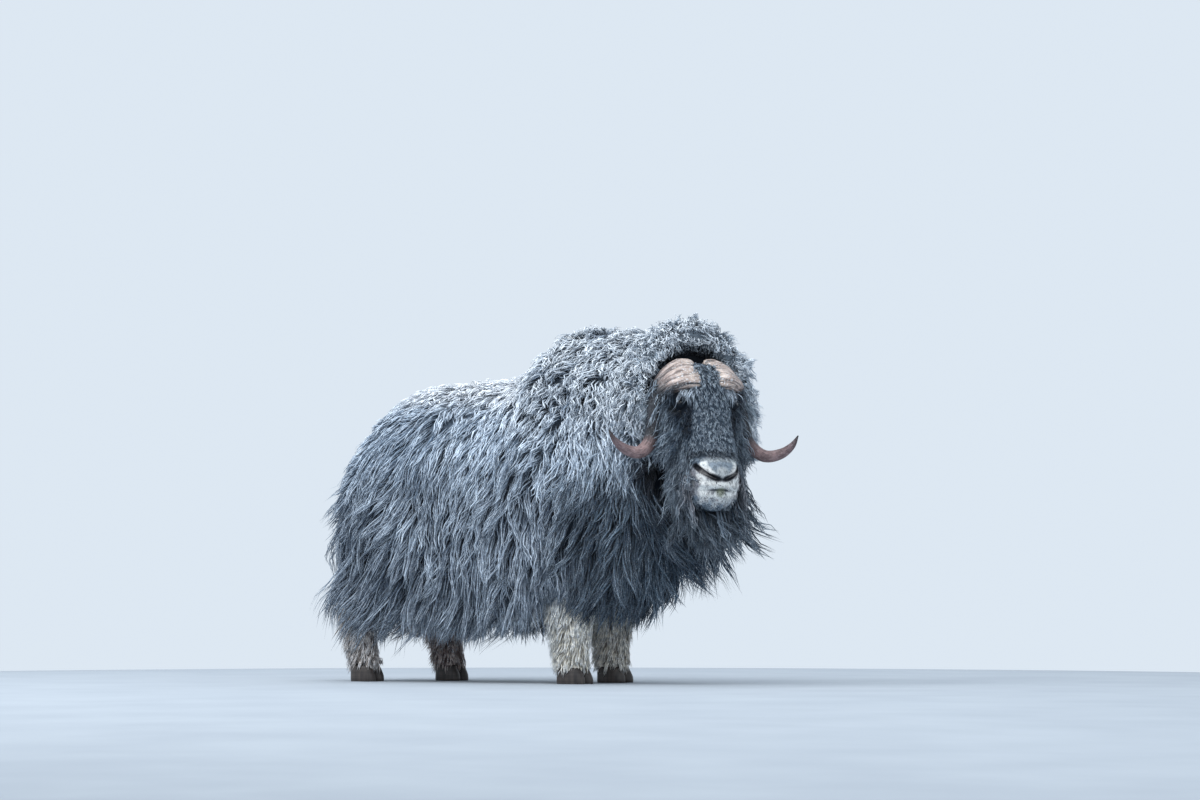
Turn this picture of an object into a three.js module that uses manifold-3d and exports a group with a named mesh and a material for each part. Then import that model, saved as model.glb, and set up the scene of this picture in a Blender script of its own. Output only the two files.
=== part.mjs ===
// A life-size adult muskox bull that stands with its head turned to its right.
// Millimetres and degrees. +X is forward, +Y is the animal's left, +Z is up.
import * as THREE from "three";
import { mergeVertices } from "three/addons/utils/BufferGeometryUtils.js";
import Module from "manifold-3d";

const wasm = await Module();
wasm.setup();

// Driving sizes of the trunk. Its length is measured from the fore feet, which stand near x = 0.
const RUMP_X = -1080;
const CHEST_X = 370;
const RUMP_DOME = 450;
const CHEST_DOME = 290;
const BACK_Z = 1198;
const HUMP_Z = 1384;
const BELLY_Z = 330;
const FLANK_HALF_WIDTH = 312;

// The head hangs from the poll at HEAD_AT, turned, nose down, and tilted a little.
const HEAD_AT = [550, -100, 1150];
const HEAD_YAW = -40;
const HEAD_ROLL = -1.2;
const NECK_FACE = -115;
const NECK_START = [20, 0, 950];
const NECK_HALF_WIDTH = 222;

// Where the feet stand, as [x, y].
const FEET = {
  front_right: [-12, -140],
  front_left: [12, 140],
  rear_right: [-985, -145],
  rear_left: [-760, 145],
};
const CORONET_Z = 66;
const CLAW_HALF_WIDTH = 30;
const CLAW_PART = 2;

const EYE_RADIUS = 21;
const EYE_AT = [74, 108, -46];
const HORN_PART = 27;
const CORE_GAP = 0.5;
const CLEARANCE = 0.4;
const SMOOTHING = 0.1;
const LOCK_THICKNESS = 19;
const SEED = 20261;

const COLOURS = {
  coat: 0x6f7b88,
  mane: 0x8793a0,
  face: 0x4d5a67,
  leg: 0x9c9a92,
  hoof: 0x2e2a28,
  horn: 0xa08e84,
  eye: 0x140f0c,
};

// Small helpers

function seeded(seed) {
  let state = seed;
  return () => {
    state = (state * 1664525 + 1013904223) >>> 0;
    return state / 4294967296;
  };
}
const random = seeded(SEED);
const spread = (amount) => (random() * 2 - 1) * amount;
const radians = THREE.MathUtils.degToRad;
const vec = (x, y, z) => new THREE.Vector3(x, y, z);
const DOWN = vec(0, 0, -1);
const UP = vec(0, 0, 1);

// The value at x of a smooth curve through the keys, each [x, value].
function along(keys, x) {
  const last = keys.length - 1;
  if (x <= keys[0][0]) return keys[0][1];
  if (x >= keys[last][0]) return keys[last][1];
  const i = keys.findIndex(([at]) => at > x) - 1;
  const slope = (k) => {
    const [a, b] = [keys[Math.max(k - 1, 0)], keys[Math.min(k + 1, last)]];
    return (b[1] - a[1]) / (b[0] - a[0]);
  };
  const [[x0, v0], [x1, v1]] = [keys[i], keys[i + 1]];
  const h = x1 - x0;
  const t = (x - x0) / h;
  const rise = (v1 - v0) * t * t * (3 - 2 * t);
  return v0 + rise + h * t * (1 - t) * (slope(i) * (1 - t) - slope(i + 1) * t);
}

// How much of its full size the trunk has near its rounded ends. A higher power is blunter.
function domeShare(x, power) {
  const near = Math.max(0, (RUMP_X + RUMP_DOME - x) / RUMP_DOME, (x - CHEST_X + CHEST_DOME) / CHEST_DOME);
  return Math.max(0, 1 - near ** power) ** (1 / power);
}

// From geometry to solids

function solidOf(geometry) {
  const bare = new THREE.BufferGeometry();
  bare.setAttribute("position", geometry.getAttribute("position"));
  bare.setIndex(geometry.index);
  const merged = mergeVertices(bare, 1e-3);
  const triVerts = new Uint32Array(merged.index.array);
  const vertProperties = new Float32Array(merged.attributes.position.array);
  const solid = new wasm.Manifold(new wasm.Mesh({ numProp: 3, vertProperties, triVerts }));
  if (solid.volume() > 0) return solid;
  for (let i = 0; i < triVerts.length; i += 3) {
    [triVerts[i + 1], triVerts[i + 2]] = [triVerts[i + 2], triVerts[i + 1]];
  }
  return new wasm.Manifold(new wasm.Mesh({ numProp: 3, vertProperties, triVerts }));
}

function geometryOf(solid) {
  const mesh = solid.getMesh();
  const position = new Float32Array(mesh.numVert * 3);
  for (let i = 0; i < mesh.numVert; i++) {
    position.set(mesh.vertProperties.subarray(i * mesh.numProp, i * mesh.numProp + 3), i * 3);
  }
  const geometry = new THREE.BufferGeometry();
  geometry.setAttribute("position", new THREE.BufferAttribute(position, 3));
  geometry.setIndex(new THREE.BufferAttribute(mesh.triVerts, 1));
  geometry.computeVertexNormals();
  return geometry;
}

// A closed skin over rings of equally many points, drawn together at both ends. With no start pole,
// the first ring is a triangle that closes it.
function skinOver(rings, startPole, endPole) {
  const sides = rings[0].length;
  const points = [...rings.flat(), endPole, startPole ?? endPole];
  const end = points.length - 2;
  const start = points.length - 1;
  const index = startPole ? [] : [0, 2, 1];
  for (let k = 0; k < sides; k++) {
    const next = (k + 1) % sides;
    for (let r = 0; r + 1 < rings.length; r++) {
      const [a, b] = [r * sides + k, r * sides + next];
      index.push(a, b, b + sides, a, b + sides, a + sides);
    }
    const far = (rings.length - 1) * sides;
    index.push(end, far + k, far + next);
    if (startPole) index.push(start, next, k);
  }
  const geometry = new THREE.BufferGeometry().setFromPoints(points);
  geometry.setIndex(index);
  return solidOf(geometry);
}

const centreOf = (ring) => ring.reduce((sum, p) => sum.add(p), vec(0, 0, 0)).divideScalar(ring.length);
const flatEnded = (rings) => skinOver(rings, centreOf(rings[0]), centreOf(rings.at(-1)));

const largest = (solid) =>
  solid.decompose().reduce((best, piece) => (piece.volume() > best.volume() ? piece : best));

function ball(radius, at, detail = 2, stretch = [1, 1, 1]) {
  const geometry = new THREE.IcosahedronGeometry(radius, detail);
  return solidOf(geometry.scale(...stretch).translate(...at));
}

// The shortest move, nearly, that carries a corner out past all its faces by the gap.
function outwardMove(normals, gap) {
  const move = vec(0, 0, 0);
  for (let pass = 0; pass < 60; pass++) {
    for (const normal of normals) {
      const short = gap - normal.dot(move);
      if (short > 0) move.addScaledVector(normal, short);
    }
  }
  return move.clampLength(0, gap * 12);
}

// The solid with every face moved out by the gap, to cut its neighbours clear of it.
function swollen(solid, gap) {
  const mesh = solid.getMesh();
  const { numVert, numProp, triVerts, vertProperties } = mesh;
  const corners = Array.from({ length: numVert }, (_, i) =>
    vec(...vertProperties.subarray(i * numProp, i * numProp + 3)),
  );
  const normals = corners.map(() => []);
  for (let i = 0; i < triVerts.length; i += 3) {
    const [a, b, c] = [...triVerts.subarray(i, i + 3)];
    const edge = corners[b].clone().sub(corners[a]);
    const normal = edge.cross(corners[c].clone().sub(corners[a])).normalize();
    for (const v of [a, b, c]) normals[v].push(normal);
  }
  const moved = corners.flatMap((corner, i) => corner.clone().add(outwardMove(normals[i], gap)).toArray());
  return new wasm.Manifold(new wasm.Mesh({ numProp: 3, vertProperties: new Float32Array(moved), triVerts }));
}

// A rod of changing oval section along a curve. wide and thick are keyed by the share of its length,
// and wideWay is the direction that the section's width starts along.
function rod(curve, wide, thick, wideWay, { rings = 10, sides = 10, from = 0, to = 1 } = {}) {
  const made = [];
  for (let r = 0; r <= rings; r++) {
    const t = from + ((to - from) * r) / rings;
    const tangent = curve.getTangent(t);
    const across = wideWay.clone().addScaledVector(tangent, -wideWay.dot(tangent)).normalize();
    const over = vec(0, 0, 0).crossVectors(tangent, across);
    const centre = curve.getPoint(t);
    made.push(
      Array.from({ length: sides }, (_, k) => {
        const a = (2 * Math.PI * k) / sides;
        return centre
          .clone()
          .addScaledVector(across, Math.cos(a) * along(wide, t))
          .addScaledVector(over, Math.sin(a) * along(thick, t));
      }),
    );
  }
  return skinOver(made, curve.getPoint(from), curve.getPoint(to));
}

// The trunk, neck and head as functions of a place along them and an angle round them.
// Angle 0 is the animal's left side and 90 its upper side.

const TORSO_TOP = [
  [-1080, BACK_Z - 8],
  [-600, BACK_Z],
  [-300, BACK_Z + 20],
  [-160, 1310],
  [-20, HUMP_Z],
  [370, HUMP_Z - 16],
];
const TORSO_LOW = [[-1080, 350], [-800, BELLY_Z], [-100, BELLY_Z + 5], [370, 400]];
const TORSO_MID = [[-1080, 740], [-500, 700], [0, 740], [370, 800]];
const TORSO_HALF_WIDTH = [[-1080, 280], [-700, 300], [-400, FLANK_HALF_WIDTH], [0, 300], [370, 270]];

function torsoPoint(x, angle) {
  const [c, s] = [Math.cos(angle), Math.sin(angle)];
  const mid = along(TORSO_MID, x);
  const reach = s > 0 ? along(TORSO_TOP, x) - mid : mid - along(TORSO_LOW, x);
  const fullness = s > 0 ? 1.12 : 0.72;
  const side = along(TORSO_HALF_WIDTH, x) * Math.sign(c) * Math.abs(c) ** fullness;
  return vec(x, side * domeShare(x, 2.4), mid + reach * s * domeShare(x, s > 0 ? 2.05 : 3.2));
}

function torsoCore() {
  const [rings, sides] = [15, 16];
  const [half, mid] = [(CHEST_X - RUMP_X) / 2, (CHEST_X + RUMP_X) / 2];
  const made = [];
  for (let r = 1; r < rings; r++) {
    const place = -Math.cos((Math.PI * r) / rings);
    const x = mid + half * (0.6 * place + 0.4 * Math.sin((place * Math.PI) / 2));
    made.push(Array.from({ length: sides }, (_, k) => torsoPoint(x, (2 * Math.PI * k) / sides)));
  }
  const [rump, chest] = [RUMP_X, CHEST_X].map((x) => vec(x, 0, along(TORSO_MID, x)));
  return skinOver(made, rump, chest);
}

const forward = vec(Math.cos(radians(HEAD_YAW)), Math.sin(radians(HEAD_YAW)), 0);
const NECK_END = vec(...HEAD_AT).addScaledVector(forward, NECK_FACE);
const NECK_TOP = [[0, 1330], [0.5, 1365], [1, 1375]];
const NECK_LOW = [[0, 520], [0.5, 560], [1, 690]];
const NECK_WIDTH = [[0, 262], [0.6, 250], [1, NECK_HALF_WIDTH]];

function neckPoint(t, angle) {
  const heading = radians(HEAD_YAW) * t * t * (3 - 2 * t);
  const centre = vec(...NECK_START).lerp(NECK_END, t);
  const mid = NECK_START[2] + 70 * t;
  const [c, s] = [Math.cos(angle), Math.sin(angle)];
  const reach = s > 0 ? along(NECK_TOP, t) - mid : mid - along(NECK_LOW, t);
  const side = along(NECK_WIDTH, t) * Math.sign(c) * Math.abs(c) ** 0.9;
  return vec(centre.x - Math.sin(heading) * side, centre.y + Math.cos(heading) * side, mid + reach * s);
}

function neckCore() {
  const [rings, sides] = [7, 20];
  const made = [];
  for (let r = 0; r <= rings; r++) {
    made.push(Array.from({ length: sides }, (_, k) => neckPoint(r / rings, (2 * Math.PI * k) / sides)));
  }
  return flatEnded(made);
}

// The head's own frame: x ahead of the poll, y to its left, z above it. The head is a stack of level
// slices, keyed from the chin up, as the face hangs nearly upright.
const HEAD_BACK = [[-468, 110], [-434, 50], [-394, 5], [-354, -45], [-314, -90], [-262, -130], [-180, -165], [0, -165], [105, -90]];
const HEAD_FRONT = [[-468, 175], [-444, 214], [-404, 236], [-354, 254], [-314, 258], [-262, 236], [-180, 192], [-100, 156], [0, 126], [60, 96], [105, 40]];
const HEAD_WIDTH = [[-468, 36], [-444, 76], [-404, 100], [-354, 110], [-314, 110], [-256, 104], [-170, 108], [-90, 120], [0, 126], [60, 110], [105, 60]];
const CHIN_Z = -476;
const CROWN_Z = 118;

function headPoint(z, angle) {
  const [back, front] = [along(HEAD_BACK, z), along(HEAD_FRONT, z)];
  const [c, s] = [Math.cos(angle), Math.sin(angle)];
  const length = ((front - back) / 2) * Math.sign(s) * Math.abs(s) ** 0.85;
  return vec((front + back) / 2 + length, along(HEAD_WIDTH, z) * Math.sign(c) * Math.abs(c) ** 0.85, z);
}

function headCore() {
  const sides = 18;
  const levels = [-468, -453, -431, -408, -385, -353, -313, -272, -220, -160, -95, -30, 35, 75, 105];
  const rings = levels.map((z) =>
    Array.from({ length: sides }, (_, k) => headPoint(z, (2 * Math.PI * k) / sides)),
  );
  return skinOver(rings, vec(145, 0, CHIN_Z), vec(-25, 0, CROWN_Z));
}

// Locks of the coat

const TAPERED = [[0, 0.62], [0.3, 1], [0.58, 0.88], [0.82, 0.5]];
const SHORT = [[0, 0.75], [0.4, 1], [0.76, 0.62]];
const BLUNT = [[0, 0.8], [0.55, 1]];
const WOOLLY = [[0, 0.7], [0.4, 1], [0.84, 0.78]];

// One flat lock. It starts under the surface, rises by lift and bends over to its tip.
function lock({ root, normal, tip, lift, width, shape = TAPERED, thickness = LOCK_THICKNESS }) {
  const start = root.clone().addScaledVector(normal, -thickness * 1.3);
  const bend = root.clone().lerp(tip, 0.42);
  bend.addScaledVector(normal, lift - bend.clone().sub(root).dot(normal));
  const curve = new THREE.QuadraticBezierCurve3(start, bend, tip);
  const rings = shape.map(([t, share]) => {
    const tangent = curve.getTangent(t);
    const across = vec(0, 0, 0).crossVectors(tangent, normal).normalize();
    const out = vec(0, 0, 0).crossVectors(across, tangent).normalize();
    const centre = curve.getPoint(t);
    const half = (width / 2) * share;
    const deep = thickness * (0.55 + 0.45 * share);
    return [
      centre.clone().addScaledVector(across, half).addScaledVector(out, -deep * 0.3),
      centre.clone().addScaledVector(out, deep * 0.7),
      centre.clone().addScaledVector(across, -half).addScaledVector(out, -deep * 0.3),
    ];
  });
  return skinOver(rings, null, tip);
}

// Where a lock ends that lies along the surface at first and then hangs towards the way it falls.
function hangingTip({ root, normal, lie, length, lift, hang = 1, fall = DOWN }) {
  const down = lie.clone().multiplyScalar(1 - hang).addScaledVector(fall, hang).normalize();
  const knee = root.clone().addScaledVector(normal, lift).addScaledVector(lie, length * 0.42);
  return knee.addScaledVector(down, length * 0.58);
}

// The outward normal of a surface at (u, angle), from two small steps along it.
function normalOf(surface, u, angle, step, inside) {
  const at = surface(u, angle);
  const ahead = surface(u + step, angle).sub(surface(u - step, angle));
  const round = surface(u, angle + 0.02).sub(surface(u, angle - 0.02));
  const normal = ahead.cross(round).normalize();
  return normal.dot(at.clone().sub(inside)) < 0 ? normal.negate() : normal;
}

// The part of a direction that lies in the surface.
function laid(direction, normal) {
  return direction.clone().addScaledVector(normal, -direction.dot(normal)).normalize();
}

// Rows of the trunk's locks: the angle round the trunk where they start, how far forward the row
// reaches, and their lift. The upper ones follow the trunk down to the angle "to", and the others
// hang by their length. A step over 1 spaces them wider apart, with wider locks.
const TORSO_ROWS = [
  { angle: 82, to: 60, end: 130, lift: 36, shape: BLUNT, step: 1.5 },
  { angle: 58, to: 31, end: 130, lift: 42, shape: BLUNT, step: 1.25 },
  { angle: 34, to: 5, end: 110, lift: 46, shape: SHORT },
  { angle: 11, to: -22, end: 170, lift: 50, shape: SHORT },
  { angle: -12, length: 300, end: 260, lift: 50, shape: SHORT },
  { angle: -36, length: 325, end: 345, lift: 46, shape: SHORT },
  { angle: -64, length: 260, end: 250, lift: 28, shape: SHORT },
];
const TORSO_LOCK_STEP = 144;
const TORSO_LOCK_WIDTH = 106;
const RUMP_STATIONS = [16, 82, 176, 290];
const THIGH_X = -560;
const HUMP_WOOL = 32;

function stationsOf({ end, step = 1 }, rowNumber) {
  const stations = RUMP_STATIONS.map((from) => RUMP_X + from + (rowNumber % 2) * 24);
  while (stations.at(-1) + TORSO_LOCK_STEP * step < end) stations.push(stations.at(-1) + TORSO_LOCK_STEP * step);
  return stations;
}

const torsoNormal = (x, angle) => normalOf(torsoPoint, x, angle, 4, vec(x * 0.8 - 70, 0, 760));

function torsoLocks() {
  const locks = [];
  TORSO_ROWS.forEach((row, rowNumber) => {
    for (const side of [1, -1]) {
      const round = (angle) => radians(90 + side * (90 - angle));
      for (const station of stationsOf(row, rowNumber)) {
        const x = Math.max(station + spread(10), RUMP_X + 10);
        const angle = round(row.angle + spread(5));
        const root = torsoPoint(x, angle);
        const normal = torsoNormal(x, angle);
        const back = THREE.MathUtils.smoothstep(-x, -THIGH_X - 120, -THIGH_X + 260);
        const wool = row.angle > 50 ? HUMP_WOOL * THREE.MathUtils.smoothstep(x, -200, -20) : 0;
        const lift = row.lift * (1 + spread(0.15)) + wool;
        let tip;
        if (row.length) {
          const lie = laid(vec(-0.2 - 0.6 * back, 0, -1), normal);
          const length = row.length * (1 + spread(0.12)) * (1 + 0.45 * back);
          tip = hangingTip({ root, normal, lie, length, lift, fall: vec(-0.5 * back, 0, -1).normalize() });
        } else {
          const tipX = Math.max(x - 40 - 80 * back, RUMP_X + 6);
          const tipAngle = round(row.to + spread(5));
          tip = torsoPoint(tipX, tipAngle).addScaledVector(torsoNormal(tipX, tipAngle), lift + 12);
        }
        const width = TORSO_LOCK_WIDTH * (row.step ?? 1) * (1 + spread(0.08));
        locks.push(lock({ root, normal, tip, lift, width, shape: row.shape }));
      }
    }
  });
  return locks;
}

// Rows of the neck's mane. The lower ones are swept forward, as by the wind.
const NECK_ROWS = [
  { angle: 77, stations: [0.4, 0.72], length: 160, lift: 52, hang: 0.2, shape: SHORT },
  { angle: 47, stations: [0.46, 0.78], length: 215, lift: 48, hang: 0.25, shape: SHORT },
  { angle: 18, stations: [0.46, 0.8], length: 290, lift: 50, hang: 0.5, shape: SHORT },
  { angle: -12, stations: [0.5, 0.85], length: 340, lift: 50, shape: SHORT },
  { angle: -38, stations: [0.3, 0.62, 0.96], length: 390, lift: 44, swept: 0.38, shape: SHORT },
  { angle: -64, stations: [0.36, 0.66, 0.94], length: 430, lift: 38, swept: 0.55, shape: SHORT },
  { angle: -84, stations: [0.82], length: 420, lift: 34, swept: 0.68, shape: SHORT },
];

function neckLocks() {
  const locks = [];
  for (const { angle: rowAngle, stations, shape, swept = 0, ...row } of NECK_ROWS) {
    for (const side of [1, -1]) {
      for (const station of stations) {
        const t = station + spread(0.02);
        const angle = radians(90 + side * (90 - rowAngle - spread(4)));
        const root = neckPoint(t, angle);
        const normal = normalOf(neckPoint, t, angle, 0.02, vec(300, 0, 960));
        const lift = row.lift * (1 + spread(0.15));
        const length = row.length * (1 + spread(0.12));
        const lie = laid(vec(swept - 0.15, 0, -1), normal);
        const fall = vec(swept, swept * 0.5, -1).normalize();
        const tip = hangingTip({ root, normal, lie, length, lift, hang: row.hang, fall });
        locks.push(lock({ root, normal, tip, lift, width: 118 * (1 + spread(0.1)), shape }));
      }
    }
  }
  return locks;
}

// The ruff that stands round the back of the head like a hood: woolly locks over a roll.
const HOOD_LOCKS = 13;
const HOOD_FROM = -26;
const HOOD_TO = 206;
const HOOD_ROLL = 44;

const hoodNormal = (angle) => normalOf(neckPoint, 0.95, angle, 0.02, NECK_END);

function hoodRoll() {
  const points = [];
  for (let k = 0; k <= 10; k++) {
    const angle = radians(HOOD_FROM + ((HOOD_TO - HOOD_FROM) * k) / 10);
    points.push(neckPoint(0.98, angle).addScaledVector(hoodNormal(angle), 4));
  }
  const size = [[0, 16], [0.12, HOOD_ROLL], [0.5, HOOD_ROLL + 4], [0.88, HOOD_ROLL], [1, 16]];
  return rod(new THREE.CatmullRomCurve3(points), size, size, forward, { rings: 11, sides: 7 });
}

function hoodLocks() {
  const locks = [];
  for (let k = 0; k < HOOD_LOCKS; k++) {
    const angle = radians(HOOD_FROM + ((HOOD_TO - HOOD_FROM) * k) / (HOOD_LOCKS - 1));
    const normal = hoodNormal(angle);
    const over = Math.max(0, Math.sin(angle));
    const lie = laid(forward.clone().multiplyScalar(0.5 + 0.6 * over).addScaledVector(DOWN, 1.1 - over), normal);
    const root = neckPoint(0.93, angle).addScaledVector(normal, HOOD_ROLL * 0.75);
    const lift = (34 + 8 * over) * (1 + spread(0.15));
    const length = (130 + 70 * (1 - over)) * (1 + spread(0.12));
    const tip = hangingTip({ root, normal, lie, length, lift, hang: 0.5 });
    locks.push(lock({ root, normal, tip, lift, width: 98, thickness: 30, shape: WOOLLY }));
  }
  return locks;
}

// Rows of the beard round the jaw: height on the head, angle each way from the throat, count, length.
const BEARD_ROWS = [
  { z: -262, half: 60, count: 4, length: 400, lift: 34 },
  { z: -349, half: 90, count: 4, length: 310, lift: 26 },
  { z: -431, half: 140, count: 4, length: 185, lift: 14 },
];

function beardLocks() {
  const locks = [];
  for (const { z, half, count, length, lift } of BEARD_ROWS) {
    for (let k = 0; k < count; k++) {
      const angle = radians(270 + half * ((2 * k) / (count - 1) - 1));
      const root = headPoint(z, angle);
      const normal = normalOf(headPoint, z, angle, 4, vec(80, 0, z + 60));
      const lie = laid(vec(0.1, 0.3, -1), normal);
      const fall = vec(0.1, 0.6, -1).normalize();
      const tip = hangingTip({ root, normal, lie, length: length * (1 + spread(0.15)), lift, fall });
      locks.push(lock({ root, normal, tip, lift, width: 90, thickness: 16, shape: SHORT }));
    }
  }
  return locks;
}

// Rows of the long hair of the temples and cheeks: height, angles from the side to the front, length.
const CHEEK_ROWS = [
  { z: -62, angles: [6, 34], length: 140, lift: 44 },
  { z: -180, angles: [0, 30], length: 140, lift: 38 },
];

function cheekLocks() {
  const locks = [];
  for (const { z, angles, length, lift } of CHEEK_ROWS) {
    for (const side of [1, -1]) {
      for (const turn of angles) {
        const angle = radians(90 - side * (90 - turn));
        const root = headPoint(z, angle);
        const normal = normalOf(headPoint, z, angle, 4, vec(20, 0, z));
        const lie = laid(vec(0, 0.25 * side, -1), normal);
        const tip = hangingTip({ root, normal, lie, length: length * (1 + spread(0.1)), lift, hang: 0.7 });
        locks.push(lock({ root, normal, tip, lift, width: 68, thickness: 18, shape: SHORT }));
      }
    }
  }
  return locks;
}

// Head details, all in the head's frame

function hornCurve(side) {
  const points = [
    [30, HORN_PART, 72],
    [22, 92, 67],
    [-8, 150, 22],
    [-28, 177, -54],
    [-18, 188, -134],
    [8, 212, -204],
    [32, 264, -244],
    [45, 327, -234],
    [50, 373, -200],
    [50, 398, -160],
  ];
  return new THREE.CatmullRomCurve3(points.map(([x, y, z]) => vec(x, y * side, z)));
}
const HORN_WIDE = [[0, 106], [0.1, 102], [0.2, 76], [0.32, 42], [0.5, 31], [0.64, 27], [0.78, 21], [0.9, 13], [1, 3]];
const HORN_THICK = [[0, 28], [0.12, 32], [0.25, 32], [0.4, 29], [0.64, 24], [0.78, 20], [0.9, 12], [1, 3]];

function horn(side) {
  return rod(hornCurve(side), HORN_WIDE, HORN_THICK, vec(0.87, 0, -0.49), { rings: 12, sides: 10 });
}

const mirrored = ([x, y, z], side) => [x, y * side, z];

// The ball that carries both lids, open over the eye like an almond.
function lids(side) {
  const outward = vec(0.55, 0.83 * side, 0.02).normalize();
  const opening = new THREE.Shape();
  opening.moveTo(-19, 0);
  opening.quadraticCurveTo(0, 19, 19, 0);
  opening.quadraticCurveTo(0, -17, -19, 0);
  const window_ = new THREE.ExtrudeGeometry(opening, { depth: 60, bevelEnabled: false, curveSegments: 4 });
  const facing = new THREE.Matrix4().lookAt(outward, vec(0, 0, 0), UP);
  window_.applyMatrix4(facing).translate(...mirrored(EYE_AT, side));
  return ball(EYE_RADIUS + 4.5, mirrored(EYE_AT, side)).subtract(solidOf(window_));
}

function orbit(side) {
  return ball(46, mirrored([52, 94, -34], side), 1);
}

// One nostril: a comma that slants down to the middle of the nose. Keyed by height, with the angle
// from the front.
const NOSTRIL = [[-292, 54], [-342, 36], [-350, 3]];

function nostril(side) {
  const [a, b, c] = NOSTRIL.map(([z, turn]) => headPoint(z, radians(90 - turn * side)));
  const curve = new THREE.QuadraticBezierCurve3(a, b, c.add(vec(12, 0, 0)));
  return rod(curve, [[0, 8], [0.4, 13], [1, 8]], [[0, 6], [0.35, 10], [1, 5]], vec(1, 0, 0), { rings: 4, sides: 7 });
}

// A groove that runs round the muzzle at the meeting of the lips.
function mouthLine() {
  const points = [];
  for (let a = 20; a <= 160; a += 20) {
    const rise = 10 * Math.abs(Math.cos(radians(a)));
    points.push(headPoint(-388, radians(a)).add(vec(0, 0, rise)));
  }
  const curve = new THREE.CatmullRomCurve3(points);
  return rod(curve, [[0, 5], [0.5, 8], [1, 5]], [[0, 2.5], [0.5, 3.5], [1, 2.5]], vec(0.6, 0.5, 0), {
    rings: 8,
    sides: 6,
  });
}

function lip(z, thickness, reach) {
  const points = [];
  for (let a = 35; a <= 145; a += 22) {
    points.push(headPoint(z, radians(a)).add(vec(-reach, 0, 6 * Math.abs(Math.cos(radians(a))))));
  }
  const curve = new THREE.CatmullRomCurve3(points);
  const size = [[0, thickness * 0.6], [0.5, thickness], [1, thickness * 0.6]];
  return rod(curve, size, size, UP, { rings: 6, sides: 7 });
}

function noseRidge() {
  return ball(40, [214, 0, -296], 1, [1, 1.25, 0.8]);
}

function headForms() {
  const core = headCore().trimByPlane([1, 0, 0], NECK_FACE + CORE_GAP);
  const forms = [core, noseRidge(), lip(-371, 17, 9), lip(-410, 17, 10), ...beardLocks(), ...cheekLocks()];
  for (const side of [1, -1]) forms.push(orbit(side), lids(side));
  return forms;
}
const faceCuts = () => [mouthLine(), nostril(1), nostril(-1)];

// A leaf-shaped ear with its cup turned forward.
function ear(side) {
  const curve = new THREE.QuadraticBezierCurve3(
    vec(-88, 96 * side, 28),
    vec(-94, 170 * side, 62),
    vec(-84, 228 * side, 132),
  );
  const upright = vec(0, -0.6 * side, 0.8);
  const leaf = rod(curve, [[0, 18], [0.35, 31], [0.7, 26], [1, 5]], [[0, 13], [0.5, 12], [1, 4]], upright, {
    rings: 6,
    sides: 8,
  });
  const inner = new THREE.QuadraticBezierCurve3(
    vec(-76, 128 * side, 42),
    vec(-78, 172 * side, 66),
    vec(-72, 217 * side, 118),
  );
  const cup = rod(inner, [[0, 8], [0.4, 22], [0.8, 15], [1, 3]], [[0, 6], [0.5, 13], [1, 3]], upright, {
    rings: 4,
    sides: 6,
  });
  return leaf.subtract(cup);
}

// Legs and feet, each in the frame of its own foot

const FRONT_LEG = [
  { z: 520, x: -8, along: 92, across: 76 },
  { z: 400, x: 0, along: 84, across: 72 },
  { z: 310, x: 6, along: 76, across: 66 },
  { z: 240, x: 4, along: 70, across: 60 },
  { z: 160, x: 0, along: 66, across: 58 },
  { z: 105, x: 0, along: 67, across: 60 },
  { z: CORONET_Z, x: 8, along: 64, across: 59 },
];
const REAR_LEG = [
  { z: 540, x: 70, along: 96, across: 80 },
  { z: 450, x: 28, along: 84, across: 70 },
  { z: 370, x: -14, along: 70, across: 60 },
  { z: 290, x: -26, along: 60, across: 54 },
  { z: 190, x: -16, along: 54, across: 50 },
  { z: 110, x: -4, along: 58, across: 54 },
  { z: CORONET_Z, x: 8, along: 60, across: 56 },
];

function legPoint(levels, z, angle) {
  const rising = [...levels].reverse();
  const size = (name) => along(rising.map((level) => [level.z, level[name]]), z);
  return vec(size("x") + size("along") * Math.sin(angle), size("across") * Math.cos(angle), z);
}

function legCore(levels) {
  const sides = 12;
  const rings = levels.map(({ z }) =>
    Array.from({ length: sides }, (_, k) => legPoint(levels, z, (2 * Math.PI * k) / sides)),
  );
  return flatEnded(rings);
}

// Rows of the shaggy hair of the legs: height, the angles they span, with 270 behind, count and length.
const FETLOCK = { z: 160, from: 215, to: 325, count: 2, length: 85 };
const CANNON = { z: 245, from: 0, to: 360, count: 4, length: 110 };
const BREECH = { z: 400, from: 150, to: 330, count: 3, length: 190 };

function legLocks(levels, rows) {
  const locks = [];
  const surface = (z, angle) => legPoint(levels, z, angle);
  for (const { z, from, to, count, length } of rows) {
    for (let k = 0; k < count; k++) {
      const angle = radians(from + ((to - from) * (k + 0.5)) / count);
      const root = surface(z, angle);
      const normal = normalOf(surface, z, angle, 4, vec(0, 0, z));
      const lift = length * 0.15;
      const lie = laid(DOWN, normal);
      const tip = hangingTip({ root, normal, lie, length: length * (1 + spread(0.1)), lift, hang: 0.9 });
      locks.push(lock({ root, normal, tip, lift, width: 54 + length * 0.25, thickness: 13, shape: SHORT }));
    }
  }
  return locks;
}

function claw(side, size) {
  const sides = 10;
  const y = side * (CLAW_HALF_WIDTH + CLAW_PART);
  const levels = [
    { z: 0, x: 15, long: 63, wide: CLAW_HALF_WIDTH - 1 },
    { z: 24, x: 14, long: 62, wide: CLAW_HALF_WIDTH },
    { z: CORONET_Z - CORE_GAP, x: 4, long: 52, wide: CLAW_HALF_WIDTH - 3 },
  ];
  const rings = levels.map(({ z, x, long, wide }) =>
    Array.from({ length: sides }, (_, k) => {
      const a = (2 * Math.PI * k) / sides;
      return vec((x + long * Math.sign(Math.cos(a)) * Math.abs(Math.cos(a)) ** 0.8) * size, y + wide * Math.sin(a), z);
    }),
  );
  return flatEnded(rings);
}

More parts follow.
